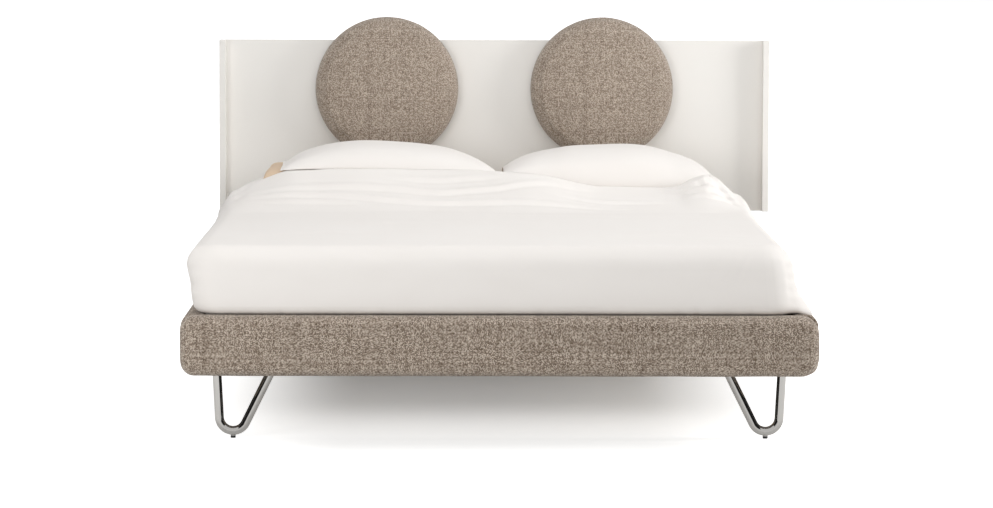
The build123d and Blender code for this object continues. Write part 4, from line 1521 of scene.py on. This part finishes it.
    def build(self) -> bpy.types.Object:
        """Builds the coverlet.

        Returns:
            The coverlet.
        """
        grid, rim, loop = self.layout()
        rows, columns = grid.shape[:2]
        flat = grid.reshape(-1, 2)
        top = np.column_stack((flat, self.height(flat[:, 0], flat[:, 1]), np.zeros((len(flat), 2))))
        lift = self.height(rim[:, 0], rim[:, 1]) - self.level
        strips = [top]
        for out, level in self.drop()[1:]:
            place = rim[:, :2] + rim[:, 2:] * out
            rise = lift * np.interp(level, [0.44, self.level], [0.0, 1.0])
            strips.append(np.column_stack((place, level + rise, rim[:, 2:])))
        faces = []
        for face in grid_faces(rows, columns):
            x, y = flat[list(face)].mean(0)
            if y < self.hem_line(x) or abs(x) > self.side_start:
                faces.append(face)
        count = len(loop)
        rings = [[i * columns + j for i, j in loop]]
        rings += [[rows * columns + k * count + m for m in range(count)] for k in range(len(strips) - 1)]
        for upper, lower in zip(rings, rings[1:]):
            faces += [(upper[m], upper[m + 1], lower[m + 1], lower[m]) for m in range(count - 1)]
        table = np.vstack(strips)
        piece = make_piece("coverlet_cloth", self.crumple(table[:, :3], table[:, 3:]), faces)
        self.drop_loose(piece)
        self.face_up(piece)
        solid = piece.modifiers.new("thickness", "SOLIDIFY")
        solid.thickness = self.thickness
        solid.offset = -1
        bake_modifiers(piece)
        shade_smooth(piece)
        coat(piece, self.finishes.cotton)
        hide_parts("coverlet")
        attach(piece, "bedding")
        return piece

    @staticmethod
    def drop_loose(piece: bpy.types.Object) -> None:
        """Deletes the points of the grid that no face uses.

        Args:
            piece: The sheet.
        """
        shell = bmesh.new()
        shell.from_mesh(piece.data)
        bmesh.ops.delete(shell, geom=[v for v in shell.verts if not v.link_faces], context="VERTS")
        shell.to_mesh(piece.data)
        shell.free()

    @staticmethod
    def face_up(piece: bpy.types.Object) -> None:
        """Turns the open sheet so that its faces look up and out."""
        if sum(face.normal.z * face.area for face in piece.data.polygons) < 0:
            piece.data.flip_normals()

    def crumple(self, points: np.ndarray, outward: np.ndarray) -> np.ndarray:
        """Adds the cloth's lean, its corner creases and the puckers where it is tucked in.

        Args:
            points: The smooth drape.
            outward: The direction outwards in plan at each point of the sides, or nothing on the top.

        Returns:
            The points, moved.
        """
        x, y, z = points.T
        side = np.linalg.norm(outward, axis=1)
        turn = np.degrees(np.arctan2(outward[:, 0], -outward[:, 1])) * side
        low, high = ease(z, 0.372, 0.342), ease(z, 0.34, 0.40) * ease(z, 0.53, 0.49)
        # Gentle swells all over, and the puckers above the tuck.
        out = 0.0016 * drift(points * [1, 1, 2.2], 0.11, 12)
        for at, deep in self.puckers:
            out = out - deep * bump(x, at, 0.007) * low * (y < -0.95)
        out = out - 0.0022 * np.abs(drift(points * [1, 1, 0.25], 0.045, 15)) * low
        # The foot's right corner: a sharp upright crease, a hollow beside it and short ripples.
        out = out + 0.0085 * np.exp(-np.abs(turn - 32) / 7) * high
        out = out - 0.0050 * bump(turn, 50, 10) * high
        out = out + 0.0030 * np.sin(z * 2 * np.pi / 0.031 + 5 * turn / 90) * bump(turn, 66, 20) * high
        # The left side, which is full under its top edge, and the foot's left corner.
        out = out + 0.0080 * ease(turn, -60, -85) * ease(z, 0.42, 0.49) * ease(z, 0.536, 0.522)
        out = out - 0.0070 * bump(turn, -38, 7) * ease(z, 0.46, 0.50) * ease(z, 0.535, 0.515)
        out = out + 0.0025 * np.sin(z * 2 * np.pi / 0.045 - 3 * turn / 90) * bump(turn, -60, 16) * high
        # Two short slanting creases on the foot side, near the right corner.
        for place, lean, level, length, deep in ((0.655, 0.9, 0.475, 0.030, 0.0022),
                                                 (0.690, 0.7, 0.480, 0.025, 0.0018)):
            slant = bump(x - place - lean * (z - level), 0.0, 0.006)
            out = out + deep * slant * bump(z, level, length) * (turn < 5)
        # The right side's hem, which flares out over the rail.
        flare = np.interp(z, [0.3462, 0.3495, 0.3545, 0.362, 0.375, 0.40, 0.43],
                          [0, 0.75, 1, 0.95, 0.6, 0.2, 0])
        flare = flare * ease(turn, 50, 80) * ease(y, -0.35, -0.85)
        moved = points.copy()
        moved[:, :2] += outward * (out + 0.046 * flare)[:, None]
        moved[:, 2] -= 0.018 * flare**2
        # The whole cloth lies a little to the left, and its top has faint waves.
        moved[:, 0] += np.interp(z, [0.30, 0.34, 0.44, 0.50, 0.54], [0.0, -0.010, -0.0195, -0.025, -0.027])
        moved[:, 2] += 0.0018 * drift(points * [1, 1, 0.2], 0.30, 11) * ease(z, 0.42, 0.50)
        moved[:, 2] += 0.0007 * drift(points * [1, 1, 0.3], 0.09, 14) * ease(z, 0.42, 0.50)
        return moved


@dataclass
class Bedding:
    """The mattress, the coverlet over it and the four pillows.

    Attributes:
        mattress_ease: How much shorter each end is than its node, to clear the coverlet.
        mattress_shift: How far it lies towards the head.
        mattress_lower: How far its top stays under that of its node.
    """

    finishes: Finishes
    mattress_half_width: float = 0.797
    mattress_corner: float = 0.05
    mattress_ease: float = 0.034
    mattress_shift: float = 0.012
    mattress_lower: float = 0.004

    def mattress(self) -> bpy.types.Object:
        """The mattress: a rounded body with taped edges, under the coverlet.

        Returns:
            The mattress.
        """
        low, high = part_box("mattress")
        radius = self.mattress_corner
        half_x, half_y = self.mattress_half_width - radius, (high.y - low.y) / 2 - self.mattress_ease - radius
        middle = Vector(((low.x + high.x) / 2, (low.y + high.y) / 2 + self.mattress_shift, 0))
        height = high.z - low.z - self.mattress_lower
        profile = [(0.030, 0.0), (0.012, 0.004), (0.003, 0.014), (-0.0005, 0.022), (0.0, 0.030)]
        profile += [(0.001, height * k) for k in (0.25, 0.4, 0.55, 0.7, 0.8)]
        profile += [(-0.0005, height - 0.030), (0.002, height - 0.020), (0.010, height - 0.009),
                    (0.030, height)]
        angles = np.radians(np.arange(0, 360, 3))
        rows = []
        for inset, level in profile:
            x = np.sign(np.cos(angles)) * half_x + (radius - inset) * np.cos(angles)
            y = np.sign(np.sin(angles)) * half_y + (radius - inset) * np.sin(angles)
            rows.append(np.column_stack((x + middle.x, y + middle.y, np.full(len(angles), low.z + level))))
        faces = grid_faces(len(rows), len(angles), round_columns=True)
        count = len(angles)
        faces += [tuple(range(count)), tuple(range((len(rows) - 1) * count, len(rows) * count))]
        piece = make_piece("mattress_body", np.vstack(rows), faces)
        crease_by_angle(piece, 60)
        coat(piece, self.finishes.ticking)
        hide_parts("mattress")
        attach(piece, "bedding")
        return piece

    def upper(self, side: Side, ends: tuple[float, float], perch: tuple[float, float], flat: float = 0.0,
              **fit: object) -> Pillow:
        """An upper pillow, ready to build.

        Args:
            side: Its side.
            ends: Where its left and right ends lie.
            perch: How far its ends are lifted by what lies under them.
            flat: How far its top stays under that of its node.
            **fit: How it lies otherwise, as the pillow's own fields.

        Returns:
            The pillow.
        """
        node = f"upper_pillow_{side.word}"
        low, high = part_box(node)
        return Pillow(name=f"{node}_cushion", node=node, body=node, slot=Slot.BEDDING,
                      finish=self.finishes.cotton, base=low.z, seam=low.z + 0.006, top=high.z - flat,
                      sink=0.012, perch=perch, sag=0.018, ends=ends, seed=20 + side.value, **fit)

    def lower(self, side: Side, proud: float, perch: tuple[float, float], **fit: object) -> Pillow:
        """A lower pillow, ready to build.

        Args:
            side: Its side.
            proud: How far its top stands above its node.
            perch: How much further its left end stands up, and its right one.
            **fit: How it lies otherwise, as the pillow's own fields.

        Returns:
            The pillow.
        """
        node = f"lower_pillow_{side.word}"
        low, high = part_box(node)
        half = (high.z - low.z) / 2
        return Pillow(name=f"{node}_cushion", node=node, body="bedding", slot=Slot.BEIGE,
                      finish=self.finishes.beige, base=low.z, seam=low.z + half, top=high.z + proud,
                      sink=half + 0.01, blunt=(16.0, 0.42), blunt_along=(9.0, 0.5), perch=perch,
                      perch_from=(0.62, -0.30), blown=False, seed=30 + side.value, **fit)

    def build(self) -> None:
        """Builds all of the bedding."""
        log.info("%s", self.mattress().name)
        upper = [self.upper(Side.LEFT, ends=(-0.686, 0.010), perch=(-0.004, -0.017), flat=0.002, nod=0.010,
                            perch_from=(0.72, -0.30), taper=(1.03, 1.0), tucks=(0.008, 0.045)),
                 self.upper(Side.RIGHT, ends=(0.014, 0.692), perch=(0.028, 0.022), nod=0.021)]
        lower = [self.lower(Side.LEFT, proud=-0.006, perch=(0.019, -0.020), ends=(-0.732, -0.010),
                            taper=(1.0, 1.06)),
                 self.lower(Side.RIGHT, proud=-0.010, perch=(0.0, 0.0))]
        for pillow in (*upper, *lower):
            pillow.build()
        coverlet = Coverlet(self.finishes, upper)
        cloth = coverlet.build()
        log.info("%s", cloth.name)


@dataclass
class CarriedNodes:
    """The CAD nodes that stay as they are and get a finish."""

    finishes: Finishes

    def dress(self) -> None:
        """Gives each shown CAD node its material."""
        for name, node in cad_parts.items():
            if not node.hide_render:
                coat(node, self.finishes.for_node(name))


@dataclass
class Studio:
    """A plain pale floor, soft lights and the camera at the photograph's angle.

    Attributes:
        focal_pixels: The focal length in the picture's pixels.
        near_glow: The share of the floor's glow left where the painted shade under the bed is darkest.
        shade_from: How far from the middle the painted shade starts to thin.
        shade_to: Where it ends.
        shade_along: How dark the painted shade is along the bed, as pairs of Y and share.
        ambient: The strength of the world's light on the bed.
        lamps: Each lamp's name, place, aim, size and power.
        cards: Each dark card's name, X, and span along Y and Z; they paint dark reflections into the chrome.
    """

    camera_place: tuple[float, float, float] = (-0.102, -12.116, 1.422)
    pitch: float = 4.70
    yaw: float = 0.48
    roll: float = 0.15
    focal_pixels: float = 4042.0
    picture_width: float = 993.0
    sensor: float = 36.0
    floor_half: float = 60.0
    near_glow: float = 0.21
    shade_from: float = 0.40
    shade_to: float = 0.98
    # How dark the floor's painted shade under the bed is along Y.
    shade_along: tuple[tuple[float, float], ...] = (
        (-2.1, 0.0), (-1.6, 0.45), (-1.4, 0.74), (-1.25, 0.86), (-1.15, 0.80), (-1.08, 0.60), (-1.0, 0.46),
        (-0.75, 0.48), (-0.57, 0.58), (-0.38, 0.74), (-0.18, 0.86), (0.45, 1.0), (1.1, 1.0), (1.9, 0.0))
    ambient: float = 0.44
    lamps: tuple[tuple[str, tuple[float, float, float], tuple[float, float, float], float, float], ...] = (
        ("key from the left", (-2.4, -3.6, 1.2), (-0.2, -1.0, 0.35), 1.4, 37),
        ("front", (1.2, -6.0, 1.5), (0.3, 0.2, 0.6), 2.4, 18),
        ("top", (0.1, -0.8, 4.6), (0, -0.2, 0.5), 3.4, 72),
        ("right", (5.5, -0.75, 1.9), (0.1, 1.0, 0.75), 1.6, 154))
    # Dark cards that paint dark reflections into the chrome; the middle one stands for the shade under the
    # bed.
    cards: tuple[tuple[str, float, tuple[float, float], tuple[float, float]], ...] = (
        ("card_left", -3.2, (-9.0, 6.0), (0.32, 3.5)),
        ("card_right", 3.2, (-9.0, 6.0), (0.32, 3.5)),
        ("card_middle", 0.0, (-1.8, 1.0), (0.0, 0.17)))

    def camera(self) -> None:
        """Places the camera."""
        data = bpy.data.cameras.new("camera")
        data.sensor_width = self.sensor
        data.lens = self.focal_pixels / self.picture_width * self.sensor
        data.clip_end = 400.0
        camera = add_object("camera", data)
        camera.location = self.camera_place
        look = Euler((math.radians(90 - self.pitch), 0, math.radians(-self.yaw)), "XYZ").to_matrix()
        roll = Matrix.Rotation(math.radians(self.roll), 3, "Z")
        camera.rotation_euler = (look @ roll).to_euler()
        bpy.context.scene.camera = camera

    def floor(self) -> None:
        """Lays the floor: white to the camera, with real shadows and a painted shade under the bed."""
        size = self.floor_half
        piece = make_piece("floor", [(-size, -size, 0), (size, -size, 0), (size, size, 0), (-size, size, 0)],
                           [(0, 1, 2, 3)])
        if piece.data.polygons[0].normal.z < 0:
            piece.data.flip_normals()
        shader = Shader("studio floor")
        shader.finish({"Base Color": srgb(226, 226, 225), "Roughness": 1.0, "Specular IOR Level": 0.0})
        # Painted shade: the camera's glow is weakened under the bed, across X and along the Y ramp, so the
        # floor there looks darker on top of its real shadow.
        place = shader.add("ShaderNodeSeparateXYZ", {0: shader.place()}).outputs
        side = shader.maths(place["X"], 0.0, "ABSOLUTE")
        across = shader.add("ShaderNodeMapRange", {"Value": side, "From Min": self.shade_from,
                                                   "From Max": self.shade_to, "To Min": 1.0, "To Max": 0.0},
                            interpolation_type="SMOOTHSTEP")
        low, high = self.shade_along[0][0], self.shade_along[-1][0]
        share = shader.add("ShaderNodeMapRange", {"Value": place["Y"], "From Min": low, "From Max": high})
        stops = [((y - low) / (high - low), (dark, dark, dark, 1.0)) for y, dark in self.shade_along]
        under = shader.maths(across.outputs[0], shader.ramp(share.outputs[0], stops), "MULTIPLY")
        fade = shader.maths(1.0, shader.maths(under, 1 - self.near_glow, "MULTIPLY"), "SUBTRACT")
        strength = shader.maths(self.seen(shader), fade, "MULTIPLY")
        glow = shader.add("ShaderNodeEmission", {"Color": (1, 1, 1, 1), "Strength": strength})
        both = shader.add("ShaderNodeAddShader", {0: shader.surface.outputs[0], 1: glow.outputs[0]})
        shader.tree.links.new(both.outputs[0], shader.tree.nodes["Material Output"].inputs["Surface"])
        coat(piece, shader.material)

    @staticmethod
    def seen(shader: Shader) -> bpy.types.NodeSocket:
        """1 for camera rays, half that for mirror and glass rays, 0 for the light that falls on the bed.

        Args:
            shader: The floor's shader.

        Returns:
            The share of the glow that such a ray sees.
        """
        rays = shader.add("ShaderNodeLightPath").outputs
        mirrored = shader.maths(rays["Is Glossy Ray"], rays["Is Transmission Ray"], "MAXIMUM")
        return shader.maths(rays["Is Camera Ray"], shader.maths(mirrored, 0.5, "MULTIPLY"), "MAXIMUM")

    def world(self) -> None:
        """A white background that lights the bed only softly."""
        world = bpy.data.worlds.new("studio")
        bpy.context.scene.world = world
        world.use_nodes = True
        nodes, links = world.node_tree.nodes, world.node_tree.links
        back = nodes["Background"]
        back.inputs["Color"].default_value = (1, 1, 1, 1)
        rays = nodes.new("ShaderNodeLightPath").outputs
        seen = rays["Is Camera Ray"]
        for kind in ("Is Glossy Ray", "Is Transmission Ray"):
            most = nodes.new("ShaderNodeMath")
            most.operation = "MAXIMUM"
            links.new(seen, most.inputs[0])
            links.new(rays[kind], most.inputs[1])
            seen = most.outputs[0]
        spread = nodes.new("ShaderNodeMapRange")
        spread.inputs["To Min"].default_value = self.ambient
        spread.inputs["To Max"].default_value = 1.0
        links.new(seen, spread.inputs["Value"])
        links.new(spread.outputs[0], back.inputs["Strength"])

    def dark_reflection_cards(self) -> None:
        """Stands dark cards beside the bed and under its middle; only the chrome shows them, as painted dark
        reflections.
        """
        black = Shader("black card").finish({"Base Color": srgb(24, 24, 24), "Roughness": 1.0})
        # Painted reflections: each card is seen by mirror rays only, never by the camera, diffuse light or
        # shadows.
        for name, x, (near, far), (low, high) in self.cards:
            corners = [(x, near, low), (x, far, low), (x, far, high), (x, near, high)]
            card = make_piece(name, corners, [(0, 1, 2, 3)])
            coat(card, black)
            card.visible_camera = card.visible_diffuse = card.visible_shadow = False

    def lamp(self, name: str, place: Sequence[float], aim: Sequence[float], size: float,
             power: float) -> None:
        """Adds a square soft lamp.

        Args:
            name: Its name.
            place: Where it stands.
            aim: What it points at.
            size: The length of its side.
            power: Its power in watts.
        """
        data = bpy.data.lights.new(name, "AREA")
        data.size = size
        data.energy = power
        lamp = add_object(name, data)
        lamp.location = place
        lamp.rotation_euler = (Vector(aim) - Vector(place)).to_track_quat("-Z", "Y").to_euler()
        lamp.visible_glossy = False

    def build(self) -> None:
        """Sets the studio up."""
        bpy.context.scene.view_settings.view_transform = "Standard"
        self.floor()
        self.world()
        self.dark_reflection_cards()
        for lamp in self.lamps:
            self.lamp(*lamp)
        self.camera()


def main() -> None:
    """Builds the bed's pieces in order."""
    logging.basicConfig(level=logging.INFO, format="%(name)s: %(message)s")
    finishes = Finishes()
    PaddedRails(finishes).build()
    LoopLegs(finishes).build()
    Headrests(finishes).build()
    Bedding(finishes).build()
    CarriedNodes(finishes).dress()
    Studio().build()


if __name__ == "__main__":
    main()
